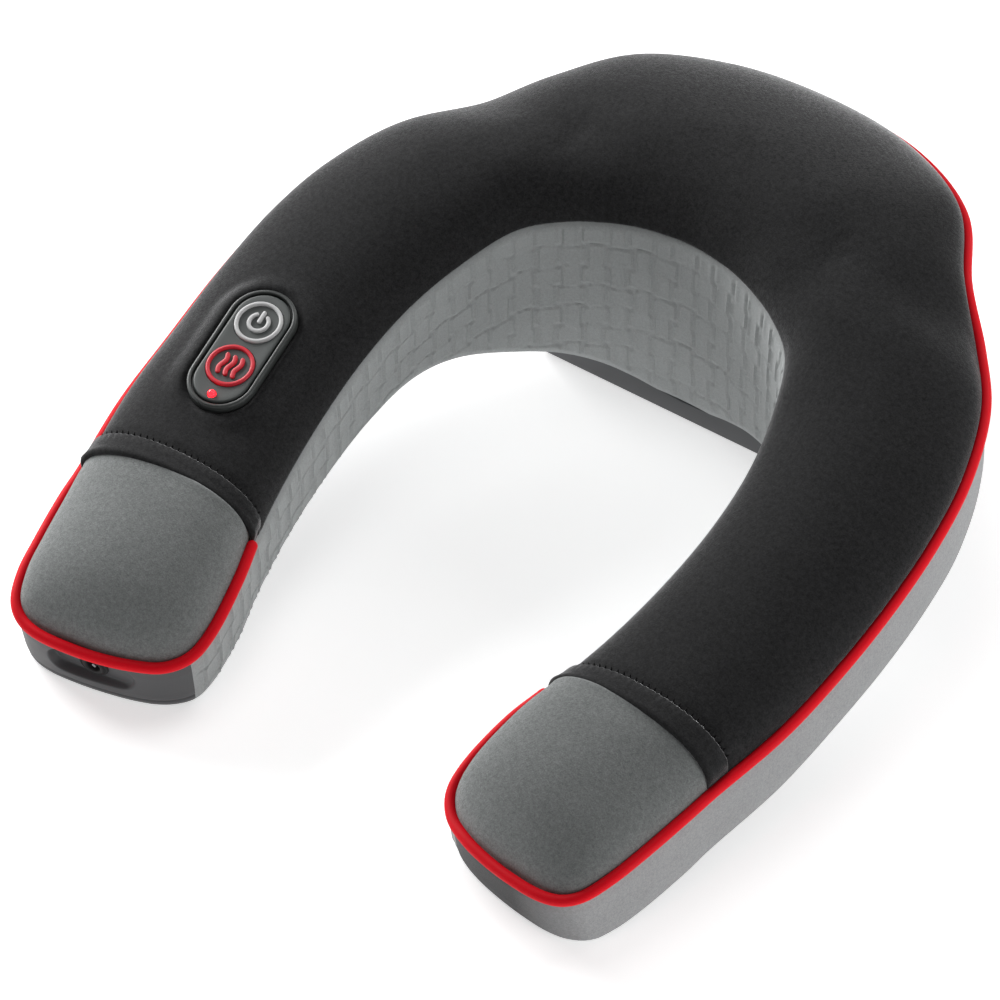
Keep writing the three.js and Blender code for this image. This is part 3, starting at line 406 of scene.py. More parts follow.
# -------- materials
class Nodes:
    """A short way to write a material's node tree."""

    def __init__(self, name):
        self.material = bpy.data.materials.new(name)
        self.material.use_nodes = True
        self.tree = self.material.node_tree
        self.shader = self.tree.nodes["Principled BSDF"]
        self.place = self.node("ShaderNodeTexCoord").outputs["Object"]

    def node(self, kind, **settings):
        made = self.tree.nodes.new(kind)
        for key, value in settings.items():
            setattr(made, key, value)
        return made

    def feed(self, socket, value):
        if isinstance(value, bpy.types.NodeSocket):
            self.tree.links.new(value, socket)
        else:
            socket.default_value = value

    def texture(self, kind, place, output, values, **settings):
        made = self.node(kind, **settings)
        self.feed(made.inputs["Vector"], place)
        for key, value in values.items():
            made.inputs[key].default_value = value
        return made.outputs[output]

    def noise(self, size, detail=2.0, roughness=0.6, stretch=None):
        """Noise from 0 to 1 whose grains are about size mm across."""
        place = self.place
        if stretch:
            place = self.texture("ShaderNodeMapping", place, "Vector", {"Scale": stretch})
        return self.texture("ShaderNodeTexNoise", place, "Fac",
                            {"Scale": 1 / (size * MM), "Detail": detail, "Roughness": roughness})

    def cells(self, size, feature="F1"):
        return self.texture("ShaderNodeTexVoronoi", self.place, "Distance",
                            {"Scale": 1 / (size * MM)}, feature=feature)

    def waves(self, size, turn, wobble):
        """Ridges size mm apart, across the X axis turned by an Euler angle."""
        turned = self.texture("ShaderNodeMapping", self.place, "Vector", {"Rotation": turn})
        scale = 1 / (size * MM) * 0.05 * 2 * math.pi
        return self.texture("ShaderNodeTexWave", turned, "Fac",
                            {"Scale": scale, "Distortion": wobble, "Detail": 0},
                            wave_type="BANDS", bands_direction="X")

    def math(self, operation, a, b, clamp=False):
        made = self.node("ShaderNodeMath", operation=operation, use_clamp=clamp)
        self.feed(made.inputs[0], a)
        self.feed(made.inputs[1], b)
        return made.outputs[0]

    def between(self, value, low, high, to_low=0.0, to_high=1.0):
        made = self.node("ShaderNodeMapRange", clamp=True)
        self.feed(made.inputs["Value"], value)
        for key, number in zip(("From Min", "From Max", "To Min", "To Max"),
                               (low, high, to_low, to_high)):
            made.inputs[key].default_value = number
        return made.outputs["Result"]

    def mix(self, share, a, b):
        made = self.node("ShaderNodeMix", data_type="RGBA")
        self.feed(made.inputs["Factor"], share)
        for socket, value in ((made.inputs[6], a), (made.inputs[7], b)):
            self.feed(socket, value if isinstance(value, bpy.types.NodeSocket) else (*value, 1))
        return made.outputs[2]

    def bump(self, height, distance):
        """Raises the surface by distance mm where height is 1."""
        made = self.node("ShaderNodeBump")
        self.feed(made.inputs["Height"], height)
        made.inputs["Distance"].default_value = distance * MM
        made.inputs["Strength"].default_value = 1.0
        self.feed(self.shader.inputs["Normal"], made.outputs["Normal"])

    def set(self, **sockets):
        for key, value in sockets.items():
            self.shader.inputs[key.replace("_", " ")].default_value = value
        return self


def srgb(*values):
    return tuple(((v / 255 + 0.055) / 1.055) ** 2.4 if v > 10 else v / 255 / 12.92 for v in values)


def fabric(name, dark, light, sheen, tint, grain=0.9, relief=0.22, painted_shade=None, rim=0.45):
    """Knitted fabric: heathered colour, a fine knit in relief and a soft sheen. Where an X range is
    given, the colour carries painted shade: it darkens to a third of the dark tone below that range.
    """
    n = Nodes(name)
    fine = n.noise(grain * 0.55, 2.5, 0.7)
    flecks = n.noise(grain * 1.6, 3.0, 0.65)
    patches = n.noise(14, 2.0, 0.5)
    speckle = n.math("ADD", n.math("MULTIPLY", fine, 0.6), n.math("MULTIPLY", flecks, 0.4))
    share = n.between(speckle, 0.36, 0.64)
    share = n.math("ADD", n.math("MULTIPLY", share, 0.8), n.math("MULTIPLY", patches, 0.2), True)
    colour = n.mix(share, dark, light)
    # Painted shade: across the X range, in metres, the colour fades from its own tone to a third of the
    # dark tone towards lower X.
    if painted_shade:
        x = n.node("ShaderNodeSeparateXYZ")
        n.feed(x.inputs["Vector"], n.place)
        colour = n.mix(n.between(x.outputs["X"], *painted_shade), tuple(c * 0.3 for c in dark), colour)
    n.feed(n.shader.inputs["Base Color"], colour)
    knit = n.math("MULTIPLY", n.waves(1.1, (0, 0, 0.6), 1.2), n.waves(0.9, (0, 1.1, -0.7), 1.2))
    height = n.math("ADD", n.math("MULTIPLY", knit, 0.12), n.math("MULTIPLY", speckle, 1.3))
    n.bump(height, relief)
    n.feed(n.shader.inputs["Roughness"], n.between(fine, 0.3, 0.7, 0.82, 0.98))
    n.feed(n.shader.inputs["Sheen Weight"], n.between(speckle, 0.38, 0.62, 0.5 * sheen, 1.5 * sheen))
    n.set(Sheen_Roughness=rim, Sheen_Tint=(*tint, 1), Specular_IOR_Level=0.25)
    return n.material


def plastic(name, colour, rough, grain=0.45, relief=0.03, vary=0.06, dull=0.5):
    """Moulded plastic with a fine spark-eroded texture."""
    n = Nodes(name)
    fine, broad = n.noise(grain, 3.0, 0.6), n.noise(9, 2.0, 0.5)
    lighter = tuple(min(1, c * (1 + 2.2 * vary) + 0.002) for c in colour)
    darker = tuple(c * (1 - 2.2 * vary) for c in colour)
    share = n.math("ADD", n.math("MULTIPLY", fine, 0.4), n.math("MULTIPLY", broad, 0.6))
    n.feed(n.shader.inputs["Base Color"], n.mix(share, darker, lighter))
    n.feed(n.shader.inputs["Roughness"], n.between(broad, 0.3, 0.7, rough - 0.05, rough + 0.06))
    n.bump(fine, relief)
    n.set(Specular_IOR_Level=dull)
    return n.material


def metal(name, colour, rough):
    n = Nodes(name)
    brushed = n.noise(0.8, 2.0, 0.6, (1, 1, 8))
    n.feed(n.shader.inputs["Base Color"], n.mix(brushed, tuple(c * 0.8 for c in colour), colour))
    n.feed(n.shader.inputs["Roughness"], n.between(brushed, 0.3, 0.7, rough - 0.08, rough + 0.1))
    n.bump(brushed, 0.02)
    n.set(Metallic=1.0)
    return n.material


def glowing(name, colour, strength):
    n = Nodes(name)
    cloudy = n.noise(0.7, 2.0, 0.5)
    n.feed(n.shader.inputs["Base Color"], n.mix(cloudy, tuple(c * 0.8 for c in colour), colour))
    n.feed(n.shader.inputs["Roughness"], n.between(cloudy, 0.3, 0.7, 0.1, 0.2))
    n.bump(cloudy, 0.02)
    n.set(Emission_Color=(*colour, 1), Emission_Strength=strength)
    return n.material


def board(name, colour):
    n = Nodes(name)
    tracks = n.between(n.cells(2.4, "DISTANCE_TO_EDGE"), 0.03, 0.1)
    n.feed(n.shader.inputs["Base Color"], n.mix(tracks, tuple(2 * c for c in colour), colour))
    n.feed(n.shader.inputs["Roughness"], n.between(n.noise(1.0), 0.3, 0.7, 0.3, 0.45))
    n.bump(tracks, 0.03)
    return n.material


def foam(name, colour):
    n = Nodes(name)
    pores = n.cells(1.1)
    n.feed(n.shader.inputs["Base Color"], n.mix(pores, colour, tuple(c * 0.6 for c in colour)))
    n.feed(n.shader.inputs["Roughness"], n.between(pores, 0.0, 1.0, 0.9, 1.0))
    n.bump(pores, 0.3)
    return n.material


BLACK_KNIT = fabric("black_knit", srgb(3, 3, 4), srgb(48, 48, 49), 0.8, (0.8, 0.8, 0.81),
                    1.0, 0.14, rim=0.3)
GREY_KNIT = fabric("grey_knit", srgb(98, 101, 101), srgb(136, 139, 138), 0.5, (0.9, 0.92, 0.92))
LIGHT_LOOK = srgb(136, 137, 138), srgb(168, 169, 170), 0.1, (0.95, 0.95, 0.95), 0.7, 0.12
LIGHT_KNIT = fabric("light_knit", *LIGHT_LOOK)
EMBOSSED = fabric("embossed_knit", srgb(150, 153, 153), srgb(174, 177, 177), 0.08, (0.9, 0.92, 0.92),
                  0.6, 0.08)
# The right end face's knit is the light knit with painted shade. It is darker towards the tip's inner
# side, away from the outer wall's corner.
PAINTED_SHADE_END_KNIT = fabric("end_knit_painted_shade", *LIGHT_LOOK, painted_shade=(0.098, 0.1275))
PIPING_RED = plastic("piping_red", srgb(228, 0, 26), 0.6, 0.6, 0.035, 0.04, dull=0.15)
THREAD = fabric("black_thread", srgb(5, 5, 6), srgb(14, 14, 15), 0.02, (0.6, 0.6, 0.6), 0.25, 0.08)
DARK_PLASTIC = plastic("dark_plastic", srgb(70, 71, 73), 0.5)
BASE_PLASTIC = plastic("base_plastic", srgb(84, 85, 87), 0.55)
GREY_PLASTIC = plastic("grey_plastic", srgb(92, 95, 94), 0.42)
FACE_PLASTIC = plastic("face_plastic", srgb(72, 76, 75), 0.5, 0.35, 0.025)
BEZEL_PLASTIC = plastic("bezel_plastic", srgb(60, 63, 62), 0.4)
RED_PLASTIC = plastic("red_plastic", srgb(214, 34, 52), 0.4)
WHITE_PLASTIC = plastic("white_plastic", srgb(198, 198, 198), 0.42, vary=0.02)
GEAR_PLASTIC = plastic("gear_plastic", srgb(215, 213, 205), 0.5, vary=0.02)
BLACK_RUBBER = plastic("black_rubber", srgb(28, 28, 29), 0.75, 0.6, 0.05)
BLACK_PLASTIC = plastic("black_plastic", srgb(20, 20, 21), 0.35)
NODE_RUBBER = plastic("node_rubber", srgb(143, 138, 134), 0.7, 0.9, 0.06)
FOAM = foam("foam", srgb(207, 202, 187))
STEEL = metal("steel", srgb(185, 188, 192), 0.32)
BRASS = metal("brass", srgb(190, 155, 85), 0.35)
BOARD = board("circuit_board", srgb(31, 90, 53))
HEATER = board("heater_film", srgb(154, 90, 44))
LED_RED = glowing("led_red", srgb(255, 30, 40), 3.5)

NODE_LOOKS = {
    "dc_jack_pin": STEEL, "dc_jack_body": BLACK_PLASTIC, "left_tip_foam": FOAM, "left_arm_foam": FOAM,
    "right_tip_foam": FOAM, "right_arm_foam": FOAM, "rear_foam": FOAM, "heater_pad": HEATER,
    "control_pcb": BOARD, "power_switch": BLACK_RUBBER, "heat_switch": BLACK_RUBBER,
    "pod_cup": DARK_PLASTIC, "gearbox_lower": GREY_PLASTIC, "gearbox_upper": GREY_PLASTIC,
    "motor_can": STEEL, "motor_shaft": STEEL, "rear_tray": BASE_PLASTIC,
}
for side in ("left", "right"):
    NODE_LOOKS[f"worm_{side}"] = BRASS
    NODE_LOOKS[f"worm_wheel_{side}"] = GEAR_PLASTIC
    NODE_LOOKS[f"output_shaft_{side}"] = STEEL
    NODE_LOOKS[f"head_disc_{side}"] = GREY_PLASTIC
    NODE_LOOKS[f"node_{side}_front"] = NODE_RUBBER
    NODE_LOOKS[f"node_{side}_back"] = NODE_RUBBER
for number in range(1, 5):
    NODE_LOOKS[f"gearbox_screw_{number}"] = STEEL
for node, look in NODE_LOOKS.items():
    NODES[node].data.materials.clear()
    NODES[node].data.materials.append(look)


def finish_piece(obj, look, slot, *nodes, body="root", padded=None):
    """Gives a piece its finish, hides the parts that it stands in for and attaches it to the body that
    it rides on.
    """
    obj.data.materials.clear()
    obj.data.materials.append(look)
    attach(obj, body)
    if nodes:
        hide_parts(*nodes)
    return obj


# -------- camera
AZIMUTH, ELEVATION = math.radians(35.587), math.radians(43.766)
DISTANCE, FOCAL_LENGTH = 2.7434, 265.74
TARGET = Vector((-0.01428, -0.02311, 0.0281))
camera = bpy.data.objects.new("camera", bpy.data.cameras.new("camera"))
bpy.context.scene.collection.objects.link(camera)
towards = Vector((math.sin(AZIMUTH) * math.cos(ELEVATION), -math.cos(AZIMUTH) * math.cos(ELEVATION),
                  math.sin(ELEVATION)))
camera.location = TARGET + towards * DISTANCE
camera.rotation_euler = (-towards).to_track_quat("-Z", "Y").to_euler()
camera.data.lens = FOCAL_LENGTH
camera.data.sensor_width = 36
camera.data.clip_end = 50
bpy.context.scene.camera = camera

# -------- control pod's own frame
POD_LENGTH, POD_WIDTH = 56.0, 27.0
POD_CENTRE = np.array([-110.8, -39.1 - ORIGIN_Y, 73.1])
POD_ALONG = unit(np.array([-2.2, 21.4, 5.4]))
POD_ACROSS = unit(np.cross(POD_ALONG, [0, 0, 1]))
POD_NORMAL = unit(np.cross(POD_ACROSS, POD_ALONG))
BUTTON_RADIUS, BUTTON_MIDDLE, BUTTON_SPACING, LED_OFFSET = 9.2, 2.0, 21.3, -22.4


def on_pod(points):
    """Points of the pod's own frame, across, along and out, in the part's frame."""
    p = np.asarray(points, float)
    return (POD_CENTRE + p[..., :1] * POD_ACROSS + p[..., 1:2] * POD_ALONG
            + p[..., 2:3] * POD_NORMAL)


def in_pod(points):
    away = points - POD_CENTRE
    return away @ POD_ACROSS, away @ POD_ALONG, away @ POD_NORMAL


def stadium_distance(x, y, length, width):
    """How far a point is outside a stadium along Y; negative inside."""
    run = (length - width) / 2
    return np.hypot(x, np.maximum(np.abs(y) - run, 0)) - width / 2


def stadium_loop(length, width, count):
    """Points round a stadium along Y."""
    r, run = width / 2, (length - width) / 2
    half = math.pi * r + 2 * run
    s = np.arange(count) * 2 * half / count
    turn, s = np.where(s < half, 1, -1)[:, None], s % half
    angle = np.maximum(s - 2 * run, 0) / r
    return turn * np.c_[r * np.cos(angle), np.minimum(s, 2 * run) - run + r * np.sin(angle)]


def stadium_rings(profile, length, width):
    """Rings round a stadium: each entry of the profile is how far inside it lies, and its height."""
    count = 160
    rings = []
    for inset, height in profile:
        loop = stadium_loop(length - 2 * inset, width - 2 * inset, count)
        rings.append(np.c_[loop, np.full(count, height)])
    return np.array(rings)


def lathe_rings(profile, count, centre=(0, 0)):
    """Rings round an upright axis: each entry of the profile is a radius and its height."""
    angle = np.linspace(0, 2 * math.pi, count, endpoint=False)
    rings = [np.c_[centre[0] + r * np.cos(angle), centre[1] + r * np.sin(angle), np.full(count, h)]
             for r, h in profile]
    return np.array(rings)


# -------- top cover
HEM_WIDTH = 7.6
RIB_STEP = 27.5  # mm from the hem's rib to the next
HOLE_INSET = 3.2  # from the pod's outline to the edge of the cover's hole under it
POD_REACH = 25  # only points this near to the pod's plane belong to it, in mm


def stitch_dip(points, line, depth, spread):
    """How far the fabric is pulled in at each stitch of a line."""
    pull = np.zeros(len(points))
    for p in line:
        away = ((points - p) ** 2).sum(1)
        pull = np.maximum(pull, depth * np.exp(-0.5 * away / spread ** 2))
    return pull


def hem_line(side, at, height, columns=400):
    """The line over the crown that lies at mm from the hem's front edge, and three ways at
    each of its points: back from the front edge, along the line, and out of the fabric."""
    place = np.array([max(at, 0), max(at, 0) + 4.0]) / RIB_STEP
    place = place if side < 0 else PLACES - place
    rows = arches(ribs_at(place), columns, edge_in=0.7, edge_out=1.8, lift=0.8)
    way = unit(rows[1] - rows[0])
    over = unit(np.gradient(rows[0], axis=0))
    out = unit(np.cross(over, way) * (1 if side < 0 else -1))
    return rows[0] + way * min(at, 0) + out * height, way, over, out


def build_cover():
    rib = ribs_at(np.linspace(0, PLACES, 900))
    middle = (rib["inner"] + rib["outer"]) / 2
    start = 0.6 * HEM_WIDTH / RIB_STEP
    along = evenly(middle, step=2.0) * PLACES
    along = along[(along > start) & (along < PLACES - start)]
    along = np.r_[start, along, PLACES - start]
    grid = arches(ribs_at(along), 56, edge_in=0.0, edge_out=1.6, lift=0.8)
    cover = face_towards(grid_piece("top_cover_fabric", grid), grid, UP)
    inflated(cover, near_edge(grid), *PADDING)
    p = points_of(cover)
    x, y, height = in_pod(p)
    away = stadium_distance(x, y, POD_LENGTH, POD_WIDTH)
    near = (np.abs(height) < POD_REACH) & (away < 14)
    meet = 0.5 - 2.5 * (1 - smoothstep(away, 0.0, 2.2))
    pull = (1 - smoothstep(away, 1.0, 11.0)) * near
    p += POD_NORMAL * (pull * (meet - height))[:, None]
    for side in (-1, 1):
        line, _, _, _ = hem_line(side, HEM_WIDTH + 0.4, 0.2)
        p -= UP * stitch_dip(p, line[6:-6:9], 0.9, 1.5)[:, None]
    set_points(cover, p)
    bm = bmesh.new()
    bm.from_mesh(cover.data)
    inside = []
    for face in bm.faces:
        a, b, h = in_pod(np.array(face.calc_center_median()) / MM)
        if abs(h) < POD_REACH and stadium_distance(a, b, POD_LENGTH, POD_WIDTH) < -HOLE_INSET:
            inside.append(face)
    bmesh.ops.delete(bm, geom=inside, context="FACES")
    bm.to_mesh(cover.data)
    bm.free()
    padded_sheet(cover, COVER_THICKNESS)
    finish_piece(cover, BLACK_KNIT, "black_fabric", "top_cover", padded=0.8)


build_cover()


# -------- folded hems and their stitches
HEM_PROFILE = [
    (7.0, -1.3), (4.0, -1.6), (1.6, -2.0), (0.5, -2.4), (-0.35, -2.0), (-0.75, -1.2), (-0.7, -0.4),
    (-0.3, 0.3), (0.4, 0.75), (1.2, 0.95), (2.2, 1.0), (3.3, 0.95), (4.4, 0.85), (5.5, 0.72),
    (6.4, 0.6), (7.0, 0.45), (7.4, 0.2), (7.6, -0.15), (7.4, -0.7),
]
STITCH_PITCH = 2.75
THREAD_RADIUS = 0.5
THREAD_POINTS, THREAD_SIDES = 9, 8


def stitch(edge, way, over, out):
    """Rings round one stitch, which leans across the hem's edge and is thinner at its ends."""
    start = edge + way * 1.5 - over * 0.45 - out * 0.75
    top = edge + out * 0.35
    end = edge - way * 1.7 + over * 0.45 + out * 0.05
    t = np.linspace(0, 1, THREAD_POINTS)[:, None]
    path = (1 - t) ** 2 * start + 2 * t * (1 - t) * (2 * top - (start + end) / 2) + t ** 2 * end
    spin = np.linspace(0, 2 * math.pi, THREAD_SIDES, endpoint=False)[:, None]
    round_it = np.cos(spin) * out + np.sin(spin) * np.cross(unit(end - start), out)
    size = [THREAD_RADIUS * math.sin(math.pi * (m + 0.6) / 9.2) ** 0.4 for m in range(THREAD_POINTS)]
    return path[:, None, :] + np.array(size)[:, None, None] * round_it


def stitch_piece(name, stitches):
    verts, faces = [], []
    for rings in stitches:
        base = len(verts)
        verts.extend(rings.reshape(-1, 3))
        faces.extend(tuple(base + v for v in face)
                     for face in grid_faces(THREAD_POINTS, THREAD_SIDES, wrap_columns=True))
        faces.append(tuple(range(base, base + THREAD_SIDES))[::-1])
        faces.append(tuple(range(len(verts) - THREAD_SIDES, len(verts))))
    return turned_out(piece(name, verts, faces))


def build_hem(name, node, side):
    rings = []
    for at, height in HEM_PROFILE:
        line, _, _, out = hem_line(side, at, 0, 221)
        far = distances(line)
        share = 0.1 + 0.9 * smoothstep(np.minimum(far, far[-1] - far), 0.5, 7.0)
        rings.append(line + out * (height * share)[:, None])
    rings = np.array(rings)
    edge, way, over, out = hem_line(side, HEM_WIDTH + 0.1, 0.35)
    count = int(distances(edge)[-1] / STITCH_PITCH)
    at = ((np.arange(count) + 0.5) / count * (len(edge) - 1)).astype(int)[2:-2]
    flat = rings.reshape(-1, 3)
    dip = stitch_dip(flat, edge[at] - way[at] * 0.6, 0.95, 0.8)
    normal = np.tile(hem_line(side, 5.0, 0.0, 221)[3], (len(HEM_PROFILE), 1))
    rings = (flat - normal * dip[:, None]).reshape(rings.shape)
    hem = ring_piece(name, np.swapaxes(rings, 0, 1))
    finish_piece(hem, BLACK_KNIT, "black_fabric", node, padded=0.5)
    stitches = [stitch(edge[i], way[i], over[i], out[i]) for i in at]
    finish_piece(stitch_piece(name + "_stitches", stitches), THREAD, "black_fabric")


build_hem("left_hem_band", "left_hem", -1)
build_hem("right_hem_band", "right_hem", 1)

# -------- end pads
PAD_INNER = np.vstack([TIP_INNER, TIP_END_SEAM[1:3]])
PAD_OUTER = np.vstack([[[141.5, -100.0 - ORIGIN_Y, 40.0]], TIP_OUTER[::-1], TIP_END_SEAM[[5, 4]]])
PAD_INSET = 1.5  # from the piping's centre to the pad's edge


def pad_ribs(t, inset):
    """The ribs of an end pad at t, 0 at the hem to 1 at the front, drawn in from the seams."""
    step = 0.004
    way_in = curve(PAD_INNER, t + step) - curve(PAD_INNER, t - step)
    way_out = curve(PAD_OUTER, t + step) - curve(PAD_OUTER, t - step)
    flat_in = unit(np.c_[-way_in[:, 1], way_in[:, 0], way_in[:, 0] * 0])
    flat_out = unit(np.c_[way_out[:, 1], -way_out[:, 0], way_out[:, 0] * 0])
    inner, outer = curve(PAD_INNER, t) + flat_in * inset, curve(PAD_OUTER, t) + flat_out * inset
    front = (PAD_INNER[-1, 1] + PAD_OUTER[-1, 1]) / 2 + inset
    along = np.clip(((inner + outer)[:, 1] / 2 - TIP_START) / (front - TIP_START), 0, 1)
    crown = TIP_CROWN * (1 - along ** TIP_ROUNDNESS) ** (1 / TIP_ROUNDNESS)
    under_hem = 1 - smoothstep(t, 0.0, 0.25)
    return {"inner": inner, "outer": outer, "crown": crown, "peak": np.full(len(inner), 0.5),
            "round": (2.2 + 0.1 * under_hem, 1.8 + 0.4 * under_hem), "bulge": 1.2}


def build_pad(name, node, turn):
    ribs = pad_ribs(np.linspace(0.0, 1.0, 500), PAD_INSET)
    ridge = (ribs["inner"] + ribs["outer"]) / 2
    ridge[:, 2] += ribs["crown"]
    ribs = pad_ribs(evenly(ridge, count=58), PAD_INSET)
    ribs["crown"] = np.maximum(ribs["crown"], 0.4)
    grid = arches(ribs, 57) * turn
    back = grid[0] + (grid[0] - grid[1]) * 1.2
    grid = np.concatenate([back[None], grid])
    pad = face_towards(grid_piece(name, grid), grid, UP)
    inflated(pad, near_edge(grid), *PADDING)
    padded_sheet(pad, PAD_THICKNESS)
    finish_piece(pad, GREY_KNIT, "grey_fabric", node, padded=0.8)


build_pad("left_end_pad_fabric", "left_end_pad", MIRROR)
build_pad("right_end_pad_fabric", "right_end_pad", np.ones(3))


# -------- piping
def build_piping():
    half = np.vstack([TIP_INNER[:-1], TIP_END_SEAM, TIP_OUTER[1:], RIBS[:, 3:6]])
    line = both_sides(half)
    t = evenly(curve(line, np.linspace(0, 1, 3000)), step=1.3)
    path = curve(line, t)
    for _ in range(3):
        path[1:-1] = (path[:-2] + 2 * path[1:-1] + path[2:]) / 4
    finish_piece(tube("piping_cord", path, PIPING_RADIUS, 20, 6), PIPING_RED, "red_piping", "piping")


build_piping()


# -------- side walls
def underside(y):
    """The height of an arm's underside."""
    return np.maximum(30.6 + 0.1987 * (y + ORIGIN_Y), 0.1)


def tip_foot(p):
    """Where a tip's wall ends, below a seam's points: further back than them at the front."""
    lean = smoothstep(-p[:, 1], -TIP_START, -TIP_FRONT) * TIP_UNDERCUT
    pull = (p[:, 0] - 96) / 96 * lean * 0.15
    y = p[:, 1] + lean
    return np.c_[p[:, 0] - pull, y, underside(y)]


def wall_grid(tops, feet, step, rows, side, trim):
    """A sheet between two seams, rounded in at its edges. side is a direction that its middle faces.
    trim is the number of points at each end that only lead the curve on into the next wall."""
    first, last = trim[0] / (len(tops) - 1), 1 - trim[1] / (len(tops) - 1)
    dense = np.linspace(first, last, 2500)
    t = first + evenly(curve(tops, dense), step=step) * (last - first)
    top, foot = curve(tops, t), curve(feet, t)
    foot[:, 2] = np.maximum(foot[:, 2] - 0.6 - 0.8 * smoothstep(foot[:, 1], 10.0, 40.0), 0.3)
    near = 0.2 / len(tops)
    way = curve(tops, t + near) - curve(tops, t - near)
    out = unit(np.c_[way[:, 1], -way[:, 0], way[:, 0] * 0])
    out *= 1 if out[len(out) // 2] @ side > 0 else -1
    drop = np.linalg.norm(top - foot, axis=1)
    s = np.linspace(0, 1, rows)
    grid = top[:, None, :] * (1 - s[None, :, None]) + foot[:, None, :] * s[None, :, None]
    down = s[None, :] * drop[:, None]
    up = drop[:, None] - down
    round_in = 0.8 * np.clip(1 - down / 1.8, 0, 1) ** 2 + 0.5 * np.clip(1 - up / 2.0, 0, 1) ** 2
    puff = 0.9 * np.minimum(1, np.sin(math.pi * s) * 1.4)[None, :] * np.clip(drop / 40, 0, 1)[:, None]
    grid += out[:, None, :] * (puff - round_in - WALL_INSET)[..., None]
    far = distances(top[:, :2])
    return grid, out, far, down, up


def under_piping(p):
    return p - UNDER_PIPING * UP


def wall_piece(name, grid, out):
    """A wall's fabric from its outer face, with sharp rims."""
    wall = face_towards(grid_piece(name, grid), grid, out[len(out) // 2])
    return sharp_by_angle(solidified(wall, WALL_THICKNESS), 50)


CELL_WIDE, CELL_TALL = 9.3, 10.0
UPRIGHT_PANEL = 3.35, 5.85  # half width and half height
LEVEL_PANEL = 4.95, 4.35
PANEL_CORNER = 0.9
EMBOSS_DEPTH = 0.85


def basket(u, v):
    """Height, 0 to 1, of an embossed basket weave at u along and v down."""
    i, j = np.floor(u / CELL_WIDE), np.floor(v / CELL_TALL)
    height = np.zeros(np.broadcast(u, v).shape)
    for di in (-1, 0, 1):
        for dj in (-1, 0, 1):
            a, b = i + di, j + dj
            upright = (a + b) % 2 == 0
            wobble = 0.35 * np.sin(a * 12.9898 + b * 78.233)
            x = np.abs(u - (a + 0.5) * CELL_WIDE - wobble)
            y = np.abs(v - (b + 0.5) * CELL_TALL - wobble * 0.7)
            out_x = x - np.where(upright, UPRIGHT_PANEL[0], LEVEL_PANEL[0])
            out_y = y - np.where(upright, UPRIGHT_PANEL[1], LEVEL_PANEL[1])
            round_x, round_y = out_x + PANEL_CORNER, out_y + PANEL_CORNER
            away = np.hypot(np.maximum(round_x, 0), np.maximum(round_y, 0)) - PANEL_CORNER
            away += np.minimum(np.maximum(out_x, out_y) + PANEL_CORNER, 0)
            panel = smoothstep(-away, -0.2, 0.7)
            side_edge = 0.25 + 0.75 * smoothstep(out_x - out_y, -1.5, 0.5)
            rim = np.exp(-0.5 * ((away + 0.8) / 0.42) ** 2) * side_edge
            height = np.maximum(height, panel * 0.5 + rim * 0.5)
    return height


FRONTWARD, BACKWARD = np.array([0, -1, 0]), np.array([0, 1, 0])


def build_walls():
    tip_tops = np.vstack([TIP_END_SEAM[1], TIP_INNER[::-1][:-1]])
    rib_tops = RIBS[:, :3] - np.array([0, 0, 0.3])
    tops = both_sides(np.vstack([under_piping(tip_tops), rib_tops]))
    feet = both_sides(np.vstack([tip_foot(tip_tops), np.c_[RIBS[:, 0:2], RIBS[:, 10]]]))
    grid, out, far, down, up = wall_grid(tops, feet, 0.85, 84, FRONTWARD, (2, 1))
    height = basket(far[:, None] - far[-1] / 2, down)
    fade = smoothstep(down, 1.0, 3.0) * smoothstep(up, 1.0, 3.0)
    fade = fade * smoothstep(np.minimum(far, far[-1] - far), 0.5, 5.0)[:, None]
    grid += out[:, None, :] * (height * fade * EMBOSS_DEPTH)[..., None]
    wall = wall_piece("inner_wall_fabric", grid, out)
    finish_piece(wall, EMBOSSED, "embossed_fabric", "inner_wall", padded=0.4)

    tip_tops = np.vstack([TIP_END_SEAM[-2], TIP_OUTER])
    tops = both_sides(under_piping(np.vstack([tip_tops, RIBS[:, 3:6]])))
    into = unit((RIBS[:, :3] - RIBS[:, 3:6]) * np.array([1, 1, 0])) * RIBS[:, 12:13]
    rib_feet = RIBS[:, 3:6] + into
    rib_feet[:, 2] = RIBS[:, 11]
    feet = both_sides(np.vstack([tip_foot(tip_tops), rib_feet]))
    grid, out, _, _, _ = wall_grid(tops, feet, 1.6, 40, BACKWARD, (1, 1))
    wall = wall_piece("outer_wall_fabric", grid, out)
    finish_piece(wall, LIGHT_KNIT, "light_fabric", "outer_wall", padded=0.4)

    seam = np.vstack([TIP_INNER[-2], TIP_END_SEAM, TIP_OUTER[1]])
    grid, out, _, _, _ = wall_grid(under_piping(seam), tip_foot(seam), 0.9, 40, FRONTWARD, (1, 1))
    wall = wall_piece("right_end_face_fabric", grid, out)
    # The end face's knit carries painted shade towards the tip's inner side.
    finish_piece(wall, PAINTED_SHADE_END_KNIT, "light_fabric", "right_end_face", padded=0.4)


build_walls()

